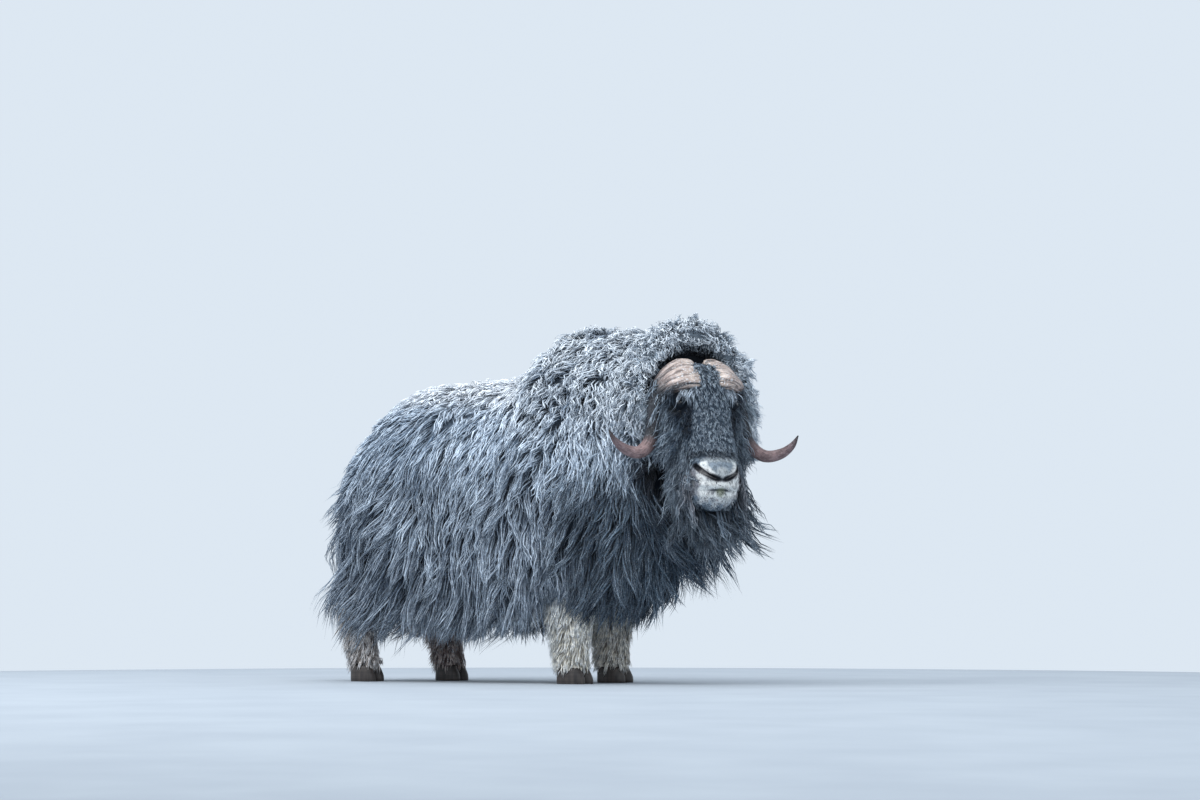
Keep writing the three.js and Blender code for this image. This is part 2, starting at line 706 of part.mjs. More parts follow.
function tail() {
  const curve = new THREE.QuadraticBezierCurve3(vec(-1030, 0, 915), vec(-1105, 0, 890), vec(-1122, 0, 765));
  return rod(curve, [[0, 30], [0.6, 28], [1, 10]], [[0, 22], [0.6, 18], [1, 8]], vec(0, 1, 0), {
    rings: 5,
    sides: 8,
  });
}

// Assembly

const materials = Object.fromEntries(
  Object.entries(COLOURS).map(([name, color]) => {
    const smooth = name === "eye" ? 0.08 : name === "horn" || name === "hoof" ? 0.55 : 0.95;
    return [name, new THREE.MeshStandardMaterial({ color, roughness: smooth, metalness: 0 })];
  }),
);

function meshOf(name, solid, material) {
  const mesh = new THREE.Mesh(geometryOf(solid), materials[material]);
  mesh.name = name;
  return mesh;
}

const muskox = new THREE.Group();
const placed = [];
const joined = (pieces) => wasm.Manifold.union(pieces);

function farApart(a, b) {
  const [one, two] = [a, b].map((solid) => solid.boundingBox());
  return [0, 1, 2].some((i) => one.min[i] > two.max[i] || two.min[i] > one.max[i]);
}

// Adds a node, joined from its pieces, and keeps it clear of the nodes added before it.
function place(name, pieces, material, { frame = muskox, cuts = [] } = {}) {
  frame.updateMatrixWorld(true);
  const toWorld = frame.matrixWorld;
  let own = joined(pieces);
  if (cuts.length > 0) own = own.subtract(joined(cuts));
  own = own.transform(toWorld.elements).simplify(SMOOTHING);
  for (const other of placed) {
    if (!farApart(own, other)) own = own.subtract(other);
  }
  placed.push(joined(pieces.map((piece) => swollen(piece, CLEARANCE))).transform(toWorld.elements));
  const local = largest(own).transform(toWorld.clone().invert().elements);
  frame.add(meshOf(name, local, material));
}

const headFrame = new THREE.Group();
headFrame.position.set(...HEAD_AT);
headFrame.rotation.set(radians(HEAD_ROLL), 0, radians(HEAD_YAW), "ZYX");
muskox.add(headFrame);

const inHead = { frame: headFrame };
const SIDES = { left: 1, right: -1 };
for (const [name, side] of Object.entries(SIDES)) {
  place("eye_" + name, [ball(EYE_RADIUS, mirrored(EYE_AT, side), 1)], "eye", inHead);
}
for (const [name, side] of Object.entries(SIDES)) place("horn_" + name, [horn(side)], "horn", inHead);
place("head", headForms(), "face", { frame: headFrame, cuts: faceCuts() });
for (const [name, side] of Object.entries(SIDES)) place("ear_" + name, [ear(side)], "mane", inHead);

const trunk = torsoCore();
const trunkClear = swollen(trunk, CORE_GAP);
for (const [name, [x, y]] of Object.entries(FEET)) {
  const isFront = name.startsWith("front");
  const frame = new THREE.Group();
  frame.position.set(x, y, 0);
  muskox.add(frame);
  const levels = isFront ? FRONT_LEG : REAR_LEG;
  for (const [clawName, side] of [["outer", Math.sign(y)], ["inner", -Math.sign(y)]]) {
    place("hoof_" + name + "_" + clawName, [claw(side, isFront ? 1 : 0.9)], "hoof", { frame });
  }
  const bare = largest(legCore(levels).subtract(trunkClear.translate([-x, -y, 0])));
  const rows = isFront ? [CANNON, FETLOCK] : [BREECH, CANNON, FETLOCK];
  place("leg_" + name, [bare, ...legLocks(levels, rows)], "leg", { frame });
}

place("tail", [largest(tail().subtract(trunkClear))], "coat");
place("torso", [trunk, ...torsoLocks()], "coat");
const neck = largest(neckCore().subtract(trunkClear));
place("neck", [neck, hoodRoll(), ...neckLocks(), ...hoodLocks()], "mane");

// The origin is on the floor, under the middle of the whole.
const box = new THREE.Box3().setFromObject(muskox, true);
const middle = box.getCenter(vec(0, 0, 0));
muskox.position.set(-middle.x, -middle.y, 0);

export default muskox;
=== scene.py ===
"""A muskox bull in its frosted winter coat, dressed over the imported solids.

The shapes are worked out in millimetres in the animal's own frame (x forward, y to its left, z up) and
turned into metres in the solids' frame where a mesh is made.
"""

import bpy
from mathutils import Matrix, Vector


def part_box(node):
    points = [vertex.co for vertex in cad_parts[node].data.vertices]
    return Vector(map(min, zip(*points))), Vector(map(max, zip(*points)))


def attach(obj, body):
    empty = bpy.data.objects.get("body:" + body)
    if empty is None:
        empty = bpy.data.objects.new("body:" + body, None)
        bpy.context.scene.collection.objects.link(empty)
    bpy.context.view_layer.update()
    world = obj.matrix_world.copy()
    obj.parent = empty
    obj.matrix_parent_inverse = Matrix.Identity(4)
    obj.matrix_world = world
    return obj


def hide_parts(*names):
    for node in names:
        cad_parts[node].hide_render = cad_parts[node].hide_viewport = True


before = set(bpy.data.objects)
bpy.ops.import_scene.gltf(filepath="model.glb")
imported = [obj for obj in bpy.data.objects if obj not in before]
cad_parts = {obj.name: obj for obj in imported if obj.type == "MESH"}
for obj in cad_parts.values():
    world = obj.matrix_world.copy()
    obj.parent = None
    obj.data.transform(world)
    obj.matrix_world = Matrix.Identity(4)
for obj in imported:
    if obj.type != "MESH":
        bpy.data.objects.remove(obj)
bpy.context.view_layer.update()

import copy
import math

import bpy
import numpy as np
from mathutils import Vector
from mathutils.bvhtree import BVHTree

SEED = 4107

# Sizes shared with the solids.

RUMP_X, CHEST_X = -1080, 370
RUMP_DOME, CHEST_DOME = 450, 290
TORSO_TOP = [(-1080, 1190), (-600, 1198), (-300, 1218), (-160, 1310), (-20, 1384), (370, 1368)]
TORSO_LOW = [(-1080, 350), (-800, 330), (-100, 335), (370, 400)]
TORSO_MID = [(-1080, 740), (-500, 700), (0, 740), (370, 800)]
TORSO_HALF_WIDTH = [(-1080, 280), (-700, 300), (-400, 312), (0, 300), (370, 270)]

HEAD_AT = np.array([550.0, -100.0, 1150.0])
HEAD_YAW, HEAD_ROLL = math.radians(-40), math.radians(-1.2)
NECK_FACE = -115
NECK_START = np.array([20.0, 0.0, 950.0])
NECK_TOP = [(0, 1330), (0.5, 1365), (1, 1375)]
NECK_LOW = [(0, 520), (0.5, 560), (1, 690)]
NECK_WIDTH = [(0, 262), (0.6, 250), (1, 222)]

HEAD_BACK = [
    (-468, 110), (-434, 50), (-394, 5), (-354, -45), (-314, -90), (-262, -130), (-180, -165), (0, -165),
    (105, -90),
]
HEAD_FRONT = [
    (-468, 175), (-444, 214), (-404, 236), (-354, 254), (-314, 258), (-262, 236), (-180, 192), (-100, 156),
    (0, 126), (60, 96), (105, 40),
]
HEAD_WIDTH = [
    (-468, 36), (-444, 76), (-404, 100), (-354, 110), (-314, 110), (-256, 104), (-170, 108), (-90, 120),
    (0, 126), (60, 110), (105, 60),
]
CHIN, CROWN = (145, 0, -476), (-25, 0, 118)

EYE_RADIUS = 21
EYE_AT = np.array([74.0, 108.0, -46.0])
HORN_PATH = [
    (30, 27, 72), (22, 92, 67), (-8, 150, 22), (-28, 177, -54), (-18, 188, -134), (8, 212, -204),
    (32, 264, -244), (45, 327, -234), (50, 373, -200), (50, 398, -160),
]
HORN_WIDE = [
    (0, 106), (0.1, 102), (0.2, 76), (0.32, 42), (0.5, 31), (0.64, 27), (0.78, 21), (0.9, 13), (1, 3)
]
NOSTRIL = [(-292, 54), (-334, 30), (-352, 0)]
MOUTH_Z = -388
HOOD_FROM, HOOD_TO, HOOD_ROLL = -26, 206, 44
HORN_THICK = [(0, 28), (0.12, 32), (0.25, 32), (0.4, 29), (0.64, 24), (0.78, 20), (0.9, 12), (1, 3)]

FEET = {
    "front_right": (-12, -140),
    "front_left": (12, 140),
    "rear_right": (-985, -145),
    "rear_left": (-760, 145),
}
# Height, forward shift, half length and half width of each level of a leg, rising.
FRONT_LEG = [
    (66, 8, 64, 59), (105, 0, 67, 60), (160, 0, 66, 58), (240, 4, 70, 60), (310, 6, 76, 66),
    (400, 0, 84, 72), (520, -8, 92, 76),
]
REAR_LEG = [
    (66, 8, 60, 56), (110, -4, 58, 54), (190, -16, 54, 50), (290, -26, 60, 54), (370, -14, 70, 60),
    (450, 28, 84, 70), (540, 70, 96, 80),
]
CLAW_HALF_WIDTH, CLAW_PART = 30, 2

SKIN_INSET = 5
BODY_VOXEL, HEAD_VOXEL = 0.010, 0.004

# The animal's own frame is moved over the floor by this much, as one claw shows.
low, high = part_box("hoof_front_right_outer")
SHIFT = np.array([(low.x + high.x) / 2 - 0.003, (low.y + high.y) / 2 + 0.172, 0.0])

# Small helpers.


def to_world(points):
    return np.asarray(points) * 0.001 + SHIFT


def to_own(points):
    return (np.asarray(points) - SHIFT) * 1000


def turned(yaw, roll):
    cy, sy, cr, sr = math.cos(yaw), math.sin(yaw), math.cos(roll), math.sin(roll)
    about_z = np.array([[cy, -sy, 0], [sy, cy, 0], [0, 0, 1]])
    about_x = np.array([[1, 0, 0], [0, cr, -sr], [0, sr, cr]])
    return about_z @ about_x


HEAD_TURN = turned(HEAD_YAW, HEAD_ROLL)
FORWARD = np.array([math.cos(HEAD_YAW), math.sin(HEAD_YAW), 0])
NECK_END = HEAD_AT + FORWARD * NECK_FACE
DOWN = np.array([0, 0, -1.0])


def from_head(points):
    return np.asarray(points, float) @ HEAD_TURN.T + HEAD_AT


def to_head(points):
    return (np.asarray(points, float) - HEAD_AT) @ HEAD_TURN


def unit(v):
    return v / np.maximum(np.linalg.norm(v, axis=-1, keepdims=True), 1e-9)


def dot(a, b):
    return (a * b).sum(-1, keepdims=True)


def ramp(x, start, end):
    """0 before start, 1 after end and smooth between."""
    t = np.clip((np.asarray(x, float) - start) / (end - start), 0, 1)
    return t * t * (3 - 2 * t)


def fade(x, start, end):
    """1 before start, 0 after end and smooth between."""
    return 1 - ramp(x, start, end)


def mix(a, b, share):
    return a + (b - a) * share


def power(v, exponent):
    return np.sign(v) * np.abs(v) ** exponent


def around(count):
    """Angles spread evenly round a whole turn."""
    return np.linspace(0, 2 * np.pi, count, endpoint=False)


def patches(p, size, seed):
    """Soft noise of about -1 to 1 at places in space, in patches of about a size."""
    rng = np.random.default_rng(seed)
    ways = unit(rng.normal(0, 1, (9, 3))) * (2 * np.pi / size) * rng.uniform(0.5, 1.1, (9, 1))
    return np.sin(p @ ways.T + rng.uniform(0, 2 * np.pi, 9)).sum(-1) / 3


def along(keys, x):
    """The value at x of a smooth curve through the keys, each (x, value)."""
    at, value = np.array(keys, float).T
    x = np.clip(x, at[0], at[-1])
    i = np.clip(np.searchsorted(at, x, side="right") - 1, 0, len(at) - 2)
    before = np.maximum(np.arange(len(at)) - 1, 0)
    after = np.minimum(np.arange(len(at)) + 1, len(at) - 1)
    slope = (value[after] - value[before]) / (at[after] - at[before])
    h = at[i + 1] - at[i]
    t = (x - at[i]) / h
    rise = (value[i + 1] - value[i]) * t * t * (3 - 2 * t)
    return value[i] + rise + h * t * (1 - t) * (slope[i] * (1 - t) - slope[i + 1] * t)


def colour(r, g, b):
    """A linear colour from its usual 0 to 255 values."""
    c = np.array([r, g, b]) / 255
    return np.where(c < 0.04045, c / 12.92, ((c + 0.055) / 1.055) ** 2.4)


# Surfaces of the body.


def dome_share(x, p):
    near = np.maximum((RUMP_X + RUMP_DOME - x) / RUMP_DOME, (x - CHEST_X + CHEST_DOME) / CHEST_DOME)
    return np.maximum(0, 1 - np.maximum(0, near) ** p) ** (1 / p)


def torso_point(x, angle):
    c, s = np.cos(angle), np.sin(angle)
    mid = along(TORSO_MID, x)
    reach = np.where(s > 0, along(TORSO_TOP, x) - mid, mid - along(TORSO_LOW, x))
    side = along(TORSO_HALF_WIDTH, x) * power(c, np.where(s > 0, 1.12, 0.72))
    share = np.where(s > 0, dome_share(x, 2.05), dome_share(x, 3.2))
    return np.stack([x + 0 * c, side * dome_share(x, 2.4), mid + reach * s * share], -1)


def neck_point(t, angle):
    heading = HEAD_YAW * t * t * (3 - 2 * t)
    centre = NECK_START + (NECK_END - NECK_START) * np.asarray(t)[..., None]
    mid = NECK_START[2] + 70 * t
    c, s = np.cos(angle), np.sin(angle)
    reach = np.where(s > 0, along(NECK_TOP, t) - mid, mid - along(NECK_LOW, t))
    side = along(NECK_WIDTH, t) * power(c, 0.9)
    x, y = centre[..., 0] - np.sin(heading) * side, centre[..., 1] + np.cos(heading) * side
    return np.stack([x, y, mid + reach * s], -1)


def head_point(z, angle):
    """A place on the head, in the head's frame. Angle 90 is the front."""
    back, front = along(HEAD_BACK, z), along(HEAD_FRONT, z)
    c, s = np.cos(angle), np.sin(angle)
    x = (front + back) / 2 + (front - back) / 2 * power(s, 0.85)
    return np.stack([x, along(HEAD_WIDTH, z) * power(c, 0.85), z + 0 * c], -1)


def leg_point(levels, z, angle):
    column = lambda i: along([(level[0], level[i]) for level in levels], z)
    return np.stack([column(1) + column(2) * np.sin(angle), column(3) * np.cos(angle), z + 0 * angle], -1)


def bezier(a, b, c, t):
    t = np.asarray(t)[..., None]
    a, b, c = (np.array(p, float) for p in (a, b, c))
    return (1 - t) ** 2 * a + 2 * t * (1 - t) * b + t * t * c


def through(points, t):
    """A smooth curve through the points, with t from 0 to 1, spaced by the root of their distances."""
    p = np.array(points, float)
    p = np.vstack([2 * p[0] - p[1], p, 2 * p[-1] - p[-2]])
    at = np.clip(np.asarray(t) * (len(p) - 3), 0, len(p) - 3 - 1e-9)
    i = at.astype(int) + 1
    w = (at - i + 1)[..., None]
    step = np.sqrt(np.linalg.norm(np.diff(p, axis=0), axis=1))
    d0, d1, d2 = step[i - 1][..., None], step[i][..., None], step[i + 1][..., None]
    p0, p1, p2, p3 = p[i - 1], p[i], p[i + 1], p[i + 2]
    m1 = ((p1 - p0) / d0 - (p2 - p0) / (d0 + d1) + (p2 - p1) / d1) * d1
    m2 = ((p2 - p1) / d1 - (p3 - p1) / (d1 + d2) + (p3 - p2) / d2) * d1
    a = 2 * (p1 - p2) + m1 + m2
    b = 3 * (p2 - p1) - 2 * m1 - m2
    return ((a * w + b) * w + m1) * w + p1


# Meshes.


def mesh_of(name, points, faces):
    """A mesh of the animal from its points in millimetres."""
    mesh = bpy.data.meshes.new(name)
    mesh.from_pydata(to_world(points).tolist(), [], faces)
    mesh.update()
    return mesh


def add(name, mesh):
    obj = bpy.data.objects.new(name, mesh)
    bpy.context.scene.collection.objects.link(obj)
    return obj


def smooth(mesh):
    mesh.polygons.foreach_set("use_smooth", np.ones(len(mesh.polygons), bool))


def places(mesh):
    """The mesh's points, in metres."""
    co = np.empty(len(mesh.vertices) * 3)
    mesh.vertices.foreach_get("co", co)
    return co.reshape(-1, 3)


KINDS = {1: ("FLOAT", "value"), 3: ("FLOAT_VECTOR", "vector"), 4: ("FLOAT_COLOR", "color")}


def paint(mesh, name, values):
    """Gives every point of the mesh a number, a vector or a colour."""
    kind, key = KINDS[values.shape[-1] if values.ndim > 1 else 1]
    mesh.attributes.new(name, kind, "POINT").data.foreach_set(key, values.astype(np.float32).ravel())


def closed(rings, start=None, end=None):
    """Points and faces of a closed skin over rings of equally many points, with a pole at each end."""
    rings = np.asarray(rings, float)
    count, sides = rings.shape[:2]
    start = rings[0].mean(0) if start is None else np.array(start, float)
    end = rings[-1].mean(0) if end is None else np.array(end, float)
    points = np.vstack([rings.reshape(-1, 3), start, end])
    k = np.arange(sides)
    nxt = (k + 1) % sides
    faces = []
    for r in range(count - 1):
        a, b = r * sides, (r + 1) * sides
        faces += np.stack([a + k, a + nxt, b + nxt, b + k], -1).tolist()
    far = (count - 1) * sides
    faces += np.stack([np.full(sides, count * sides), nxt, k], -1).tolist()
    faces += np.stack([np.full(sides, count * sides + 1), far + k, far + nxt], -1).tolist()
    return points, faces


def joined(forms):
    """One set of points and faces from several."""
    points, faces, base = [], [], 0
    for p, f in forms:
        points.append(p)
        faces += [[i + base for i in face] for face in f]
        base += len(p)
    return np.vstack(points), faces


def outward(form):
    """The form with its faces turned outward."""
    points, faces = form
    volume = 0.0
    for face in faces:
        a = points[face[0]]
        for i in range(1, len(face) - 1):
            volume += np.dot(a, np.cross(points[face[i]], points[face[i + 1]]))
    return (points, faces) if volume > 0 else (points, [face[::-1] for face in faces])


def rod(curve, wide, thick, wide_way, rings=12, sides=16, squareness=1.0):
    """A rod of changing oval section along curve(t)."""
    t = np.linspace(0, 1, rings + 1)
    centre = curve(t)
    tangent = unit(curve(np.minimum(t + 1e-3, 1)) - curve(np.maximum(t - 1e-3, 0)))
    way = np.array(wide_way, float)
    across = unit(way - tangent * dot(tangent, way))
    over = np.cross(tangent, across)
    a = around(sides)[None, :, None]
    w, d = along(wide, t)[:, None, None], along(thick, t)[:, None, None]
    rim = across[:, None] * power(np.cos(a), squareness) * w
    rim = rim + over[:, None] * power(np.sin(a), squareness) * d
    return outward(closed(centre[:, None] + rim, centre[0], centre[-1]))


def ball(radius, at, stretch=(1, 1, 1), rings=14, sides=24):
    lat = np.linspace(0, np.pi, rings + 2)[1:-1][:, None]
    lon = around(sides)[None]
    p = np.stack([np.sin(lat) * np.cos(lon), np.sin(lat) * np.sin(lon), np.cos(lat) + 0 * lon], -1)
    size = radius * np.array(stretch, float)
    at = np.array(at, float)
    return outward(closed(p * size + at, at + (0, 0, size[2]), at - (0, 0, size[2])))


def moved(form, place):
    """The form with its points taken through place."""
    return outward((place(form[0]), form[1]))


def with_modifiers(obj):
    """The object's mesh with its modifiers applied."""
    bpy.context.view_layer.update()
    mesh = bpy.data.meshes.new_from_object(obj.evaluated_get(bpy.context.evaluated_depsgraph_get()))
    obj.modifiers.clear()
    obj.data = mesh
    return obj


def remeshed(name, forms, voxel, smoothing):
    obj = add(name, mesh_of(name, *joined(forms)))
    remesh = obj.modifiers.new("remesh", "REMESH")
    remesh.mode = "VOXEL"
    remesh.voxel_size = voxel
    relax = obj.modifiers.new("relax", "SMOOTH")
    relax.iterations = smoothing
    relax.factor = 0.5
    return with_modifiers(obj)


def combined(obj, form, operation):
    """The object with another closed form joined to it or cut from it."""
    tool = form if isinstance(form, bpy.types.Object) else add("tool", mesh_of("tool", *form))
    change = obj.modifiers.new("change", "BOOLEAN")
    change.operation = operation
    change.solver = "MANIFOLD"
    change.object = tool
    with_modifiers(obj)
    bpy.data.objects.remove(tool)
    return obj


# Skin.


def torso_form():
    half, mid = (CHEST_X - RUMP_X) / 2, (CHEST_X + RUMP_X) / 2
    place = -np.cos(np.linspace(0, np.pi, 62)[1:-1])
    x = mid + half * (0.6 * place + 0.4 * np.sin(place * np.pi / 2))
    a = around(72)
    ends = [(e, 0, float(along(TORSO_MID, e))) for e in (RUMP_X, CHEST_X)]
    return outward(closed(torso_point(x[:, None], a[None]), *ends))


def neck_form():
    a = around(64)
    return outward(closed(neck_point(np.linspace(0, 1, 24)[:, None] + 0 * a[None], a[None])))


def hood_place(angle, turn, grow=0):
    """A place on the hood's roll: angle round the neck, and turn round the roll, 90 being its front."""
    angle, turn = np.broadcast_arrays(angle, turn)
    t = np.full(angle.shape, 0.98)
    inner = np.array([*NECK_END[:2], NECK_START[2] + 70])
    out = unit(neck_point(t, angle) - inner)
    out = unit(out - FORWARD * dot(out, FORWARD))
    share = (np.degrees(angle) - HOOD_FROM) / (HOOD_TO - HOOD_FROM)
    sizes = [(0, 16), (0.12, HOOD_ROLL), (0.5, HOOD_ROLL + 4), (0.88, HOOD_ROLL), (1, 16)]
    radius = along(sizes, share)[..., None] + grow
    from_core = out * np.cos(turn)[..., None] + FORWARD * np.sin(turn)[..., None]
    return neck_point(t, angle) + out * 4 + radius * from_core


def hood_form():
    angle = np.radians(np.linspace(HOOD_FROM, HOOD_TO, 60))[:, None]
    turn = around(24)[None]
    return outward(closed(hood_place(angle, turn)))


def leg_form(name):
    levels = FRONT_LEG if name.startswith("front") else REAR_LEG
    a = around(32)
    z = np.linspace(66.5, levels[-1][0] + 60, 30)[:, None]
    x, y = FEET[name]
    return outward(closed(leg_point(levels, z, a[None] + 0 * z) + (x, y, 0)))


def tail_form():
    curve = lambda t: bezier((-1030, 0, 915), (-1105, 0, 890), (-1122, 0, 765), t)
    return rod(curve, [(0, 30), (0.6, 28), (1, 10)], [(0, 22), (0.6, 18), (1, 8)], (0, 1, 0))


def lip_form(z, thickness, reach):
    a = np.radians([35, 57, 79, 101, 123, 145])
    shift = np.stack([np.full(6, -reach), 0 * a, 6 * np.abs(np.cos(a))], -1)
    points = head_point(np.full(6, float(z)), a) + shift
    size = [(0, thickness * 0.6), (0.5, thickness), (1, thickness * 0.6)]
    return rod(lambda t: through(points, t), size, size, (0, 0, 1), rings=20)


def ear_curve(side, t):
    return bezier((-88, 96 * side, 28), (-94, 170 * side, 62), (-84, 228 * side, 132), t)


def ear_form(side):
    curve = lambda t: ear_curve(side, t)
    return rod(
        curve,
        [(0, 18), (0.35, 31), (0.7, 26), (1, 5)],
        [(0, 13), (0.5, 12), (1, 4)],
        (0, -0.6 * side, 0.8),
        rings=16,
        sides=20,
    )


def ear_cup(side):
    curve = lambda t: bezier((-76, 128 * side, 42), (-78, 172 * side, 66), (-72, 217 * side, 118), t)
    return rod(
        curve,
        [(0, 8), (0.4, 22), (0.8, 15), (1, 3)],
        [(0, 6), (0.5, 13), (1, 3)],
        (0, -0.6 * side, 0.8),
        rings=14,
    )


def head_core_form():
    a = around(64)
    z = np.linspace(-468, 105, 60)[:, None]
    return outward(closed(head_point(z + 0 * a, a[None] + 0 * z), CHIN, CROWN))


def at_side(point, side):
    return np.array(point) * (1, side, 1)


def nostril_curve(side, t):
    z, turn = np.array(NOSTRIL, float).T
    points = head_point(z, np.radians(90 - turn * side))
    return bezier(points[0], points[1], points[2] + (12, 0, 0), t)


def nostril_form(side):
    deep, high = [(0, 8), (0.4, 13), (1, 8)], [(0, 7), (0.3, 11), (0.6, 6), (1, 4.5)]
    return rod(lambda t: nostril_curve(side, t), deep, high, (1, 0, 0), rings=20)


def mouth_form():
    a = np.radians(np.arange(40, 141, 20))
    shift = np.stack([0 * a, 0 * a, -8 * np.abs(np.cos(a))], -1)
    points = head_point(np.full(len(a), float(MOUTH_Z)), a) + shift
    return rod(
        lambda t: through(points, t),
        [(0, 5), (0.5, 8), (1, 5)],
        [(0, 2.5), (0.5, 3.5), (1, 2.5)],
        (0.6, 0.5, 0),
        rings=30,
    )


MUZZLE_WIDE = [(-464, 44), (-434, 66), (-394, 92), (-354, 96), (-314, 90), (-276, 74), (-254, 56)]


def lid_window(side):
    """The almond-shaped prism between the lids."""
    out = unit(np.array([0.55, 0.83 * side, 0.02]))
    across = unit(np.cross((0, 0, 1), out))
    up = np.cross(out, across)
    t = np.linspace(0, 1, 9)[:-1]
    upper = np.stack([-19 + 38 * t, 38 * t * (1 - t)], -1)
    lower = np.stack([19 - 38 * t, -34 * t * (1 - t)], -1)
    rim = np.vstack([upper, lower])
    ring = rim[:, :1] * across + rim[:, 1:] * up + at_side(EYE_AT, side)
    return outward(closed([ring + out * d for d in (0, 20, 40, 60)]))


def make_skin():
    """One continuous skin with lids, lips and nostrils, and the head's own surface."""
    body = remeshed(
        "skin", [torso_form(), neck_form(), hood_form(), tail_form(), *map(leg_form, FEET)], BODY_VOXEL, 6
    )
    forms = [
        head_core_form(),
        ball(40, (214, 0, -296), (1, 1.25, 0.8)),
        lip_form(-371, 17, 9),
        lip_form(-410, 17, 10),
    ]
    for side in (1, -1):
        forms += [ball(46, at_side((52, 94, -34), side)), ear_form(side)]
    head = remeshed("head_skin", [moved(form, from_head) for form in forms], HEAD_VOXEL, 3)
    inset(body, SKIN_INSET)
    inset(head, 2)
    cut = lambda form: combined(head, moved(form, from_head), "DIFFERENCE")
    cut(mouth_form())
    for side in (1, -1):
        combined(
            head, moved(ball(EYE_RADIUS + 4, at_side(EYE_AT, side), rings=30, sides=48), from_head), "UNION"
        )
        cut(lid_window(side))
        cut(ball(EYE_RADIUS + 0.6, at_side(EYE_AT, side), rings=30, sides=48))
        cut(nostril_form(side))
        cut(ear_cup(side))
    head_surface = Surface(head)
    skin = combined(body, head, "UNION")
    smooth(skin.data)
    return skin, head_surface


def inset(obj, depth):
    """Moves the object's surface inward by a depth in millimetres."""
    mesh = obj.data
    co = places(mesh).ravel()
    no = np.empty(co.size)
    mesh.vertex_normals.foreach_get("vector", no)
    mesh.vertices.foreach_set("co", co - no * depth * 0.001)
    mesh.update()


class Surface:
    """A mesh's surface, to find the nearest place on it."""

    def __init__(self, obj):
        mesh = obj.data
        mesh.calc_loop_triangles()
        tri = np.empty(len(mesh.loop_triangles) * 3, np.int32)
        mesh.loop_triangles.foreach_get("vertices", tri)
        self.tree = BVHTree.FromPolygons(to_own(places(mesh)).tolist(), tri.reshape(-1, 3).tolist())

    def nearest(self, points):
        """The nearest place, the outward normal there and the distance, for each point."""
        found = [self.tree.find_nearest(p) for p in points.tolist()]
        place = np.array([f[0] for f in found])
        normal = np.array([f[1] for f in found])
        return place, normal, np.array([f[3] for f in found])


# Markings.

COAT_DARK, COAT_LIGHT = colour(32, 55, 79), colour(216, 230, 244)
UPPER_DARK = colour(86, 110, 134)
HOOD_DARK = colour(150, 170, 188)
HUMP_LIGHT = colour(236, 243, 249)
SADDLE_DARK, SADDLE_LIGHT = colour(192, 203, 215), colour(242, 246, 250)
CHEST_DARK, CHEST_LIGHT = colour(16, 38, 58), colour(138, 160, 178)
FACE_DARK, FACE_LIGHT = colour(36, 60, 82), colour(192, 208, 221)
EYE_PATCH = colour(12, 28, 44)
MUZZLE = colour(236, 239, 236)
NOSE_LIGHT = colour(152, 166, 178)
LIP_SIDE = colour(150, 142, 146)
LIP_GREEN = colour(150, 160, 120)
# The dark and the light colour of each leg.
LEG_COLOURS = {
    "front_right": (colour(226, 217, 198), colour(255, 253, 247)),
    "front_left": (colour(184, 174, 160), colour(236, 231, 220)),
    "rear_left": (colour(126, 104, 98), colour(196, 178, 170)),
    "rear_right": (colour(152, 140, 132), colour(222, 216, 212)),
}
# A near black for painted shade: in the hollow behind the head, along the mouth line and in the nostrils.
SHADE_DARK = colour(6, 18, 32)
FROST = colour(232, 239, 246)


def neck_share(p):
    span = NECK_END - NECK_START
    return ((p[:, :2] - NECK_START[:2]) @ span[:2]) / (span[:2] @ span[:2])


def markings(p):
    """The coat's dark colour, its light colour and its share of frost at places of the body."""
    x, y, z = p.T
    t = neck_share(p)
    dark = np.tile(COAT_DARK, (len(p), 1))
    light = np.tile(COAT_LIGHT, (len(p), 1))
    frost = np.full(len(p), 0.64)

    def lay(mask, share, new_dark=None, new_light=None):
        nonlocal dark, light, frost
        m = np.asarray(mask)[:, None]
        frost = mix(frost, share, m[:, 0])
        if new_dark is not None:
            dark = mix(dark, new_dark, m)
        if new_light is not None:
            light = mix(light, new_light, m)

    lay(fade(z, 420, 820), 0.44)
    lay(ramp(z, 760, 1020), 0.76, UPPER_DARK)
    lay(fade(x, -820, -640) * fade(z, 900, 1050), 0.46)
    lay(ramp(z, 1040, 1140) * ramp(x, -1080, -900), 0.82, UPPER_DARK)
    lay(ramp(z, 1080, 1160) * ramp(x, -940, -760) * fade(x, -220, -100), 1.0, SADDLE_DARK, SADDLE_LIGHT)
    lay(ramp(x, -240, -80) * ramp(z, 900, 1180), 0.95, UPPER_DARK, HUMP_LIGHT)
    lay(ramp(t, 0.6, 0.8) * ramp(z, 830, 980), 1.0, HOOD_DARK, HUMP_LIGHT)
    lay(ramp(x, -40, 160) * fade(z, 780, 980), 0.24, CHEST_DARK, CHEST_LIGHT)
    # Painted shade: less frost, so darker, along a slanting crease low on the flank by the hind leg.
    crease_shade = fade(np.abs(x + 700 - 0.28 * (z - 700)), 20, 80) * fade(z, 620, 880)
    lay(crease_shade * 0.7, 0.16)
    frost = np.clip(frost + 0.2 * patches(p, 300, 11) * frost + 0.16 * patches(p, 110, 12) * frost, 0, 1)
    for name, (dark_leg, light_leg) in LEG_COLOURS.items():
        near = fade(np.hypot(x - FEET[name][0], y - FEET[name][1]), 130, 200)
        lay(near * fade(z, 330, 420), 0.9, dark_leg, light_leg)
    hood_markings(p, lay)
    face_markings(p, lay)
    return dark, light, frost


def hood_markings(p, lay):
    """The hollow between the hood and the head lies in the dark, and is painted near black there as painted
    shade.
    """
    h = to_head(p)
    hx, hy, hz = h.T
    away = np.hypot(hy, np.maximum(0, hz - 20))
    low = 24 * fade(hz, 40, 100)
    hollow = ramp(hx, -235, -175) * fade(hx, -70, -40) * fade(away - low, 158, 184) * ramp(hz, -420, -300)
    lay(hollow, 0.04, SHADE_DARK, SHADE_DARK * 4)


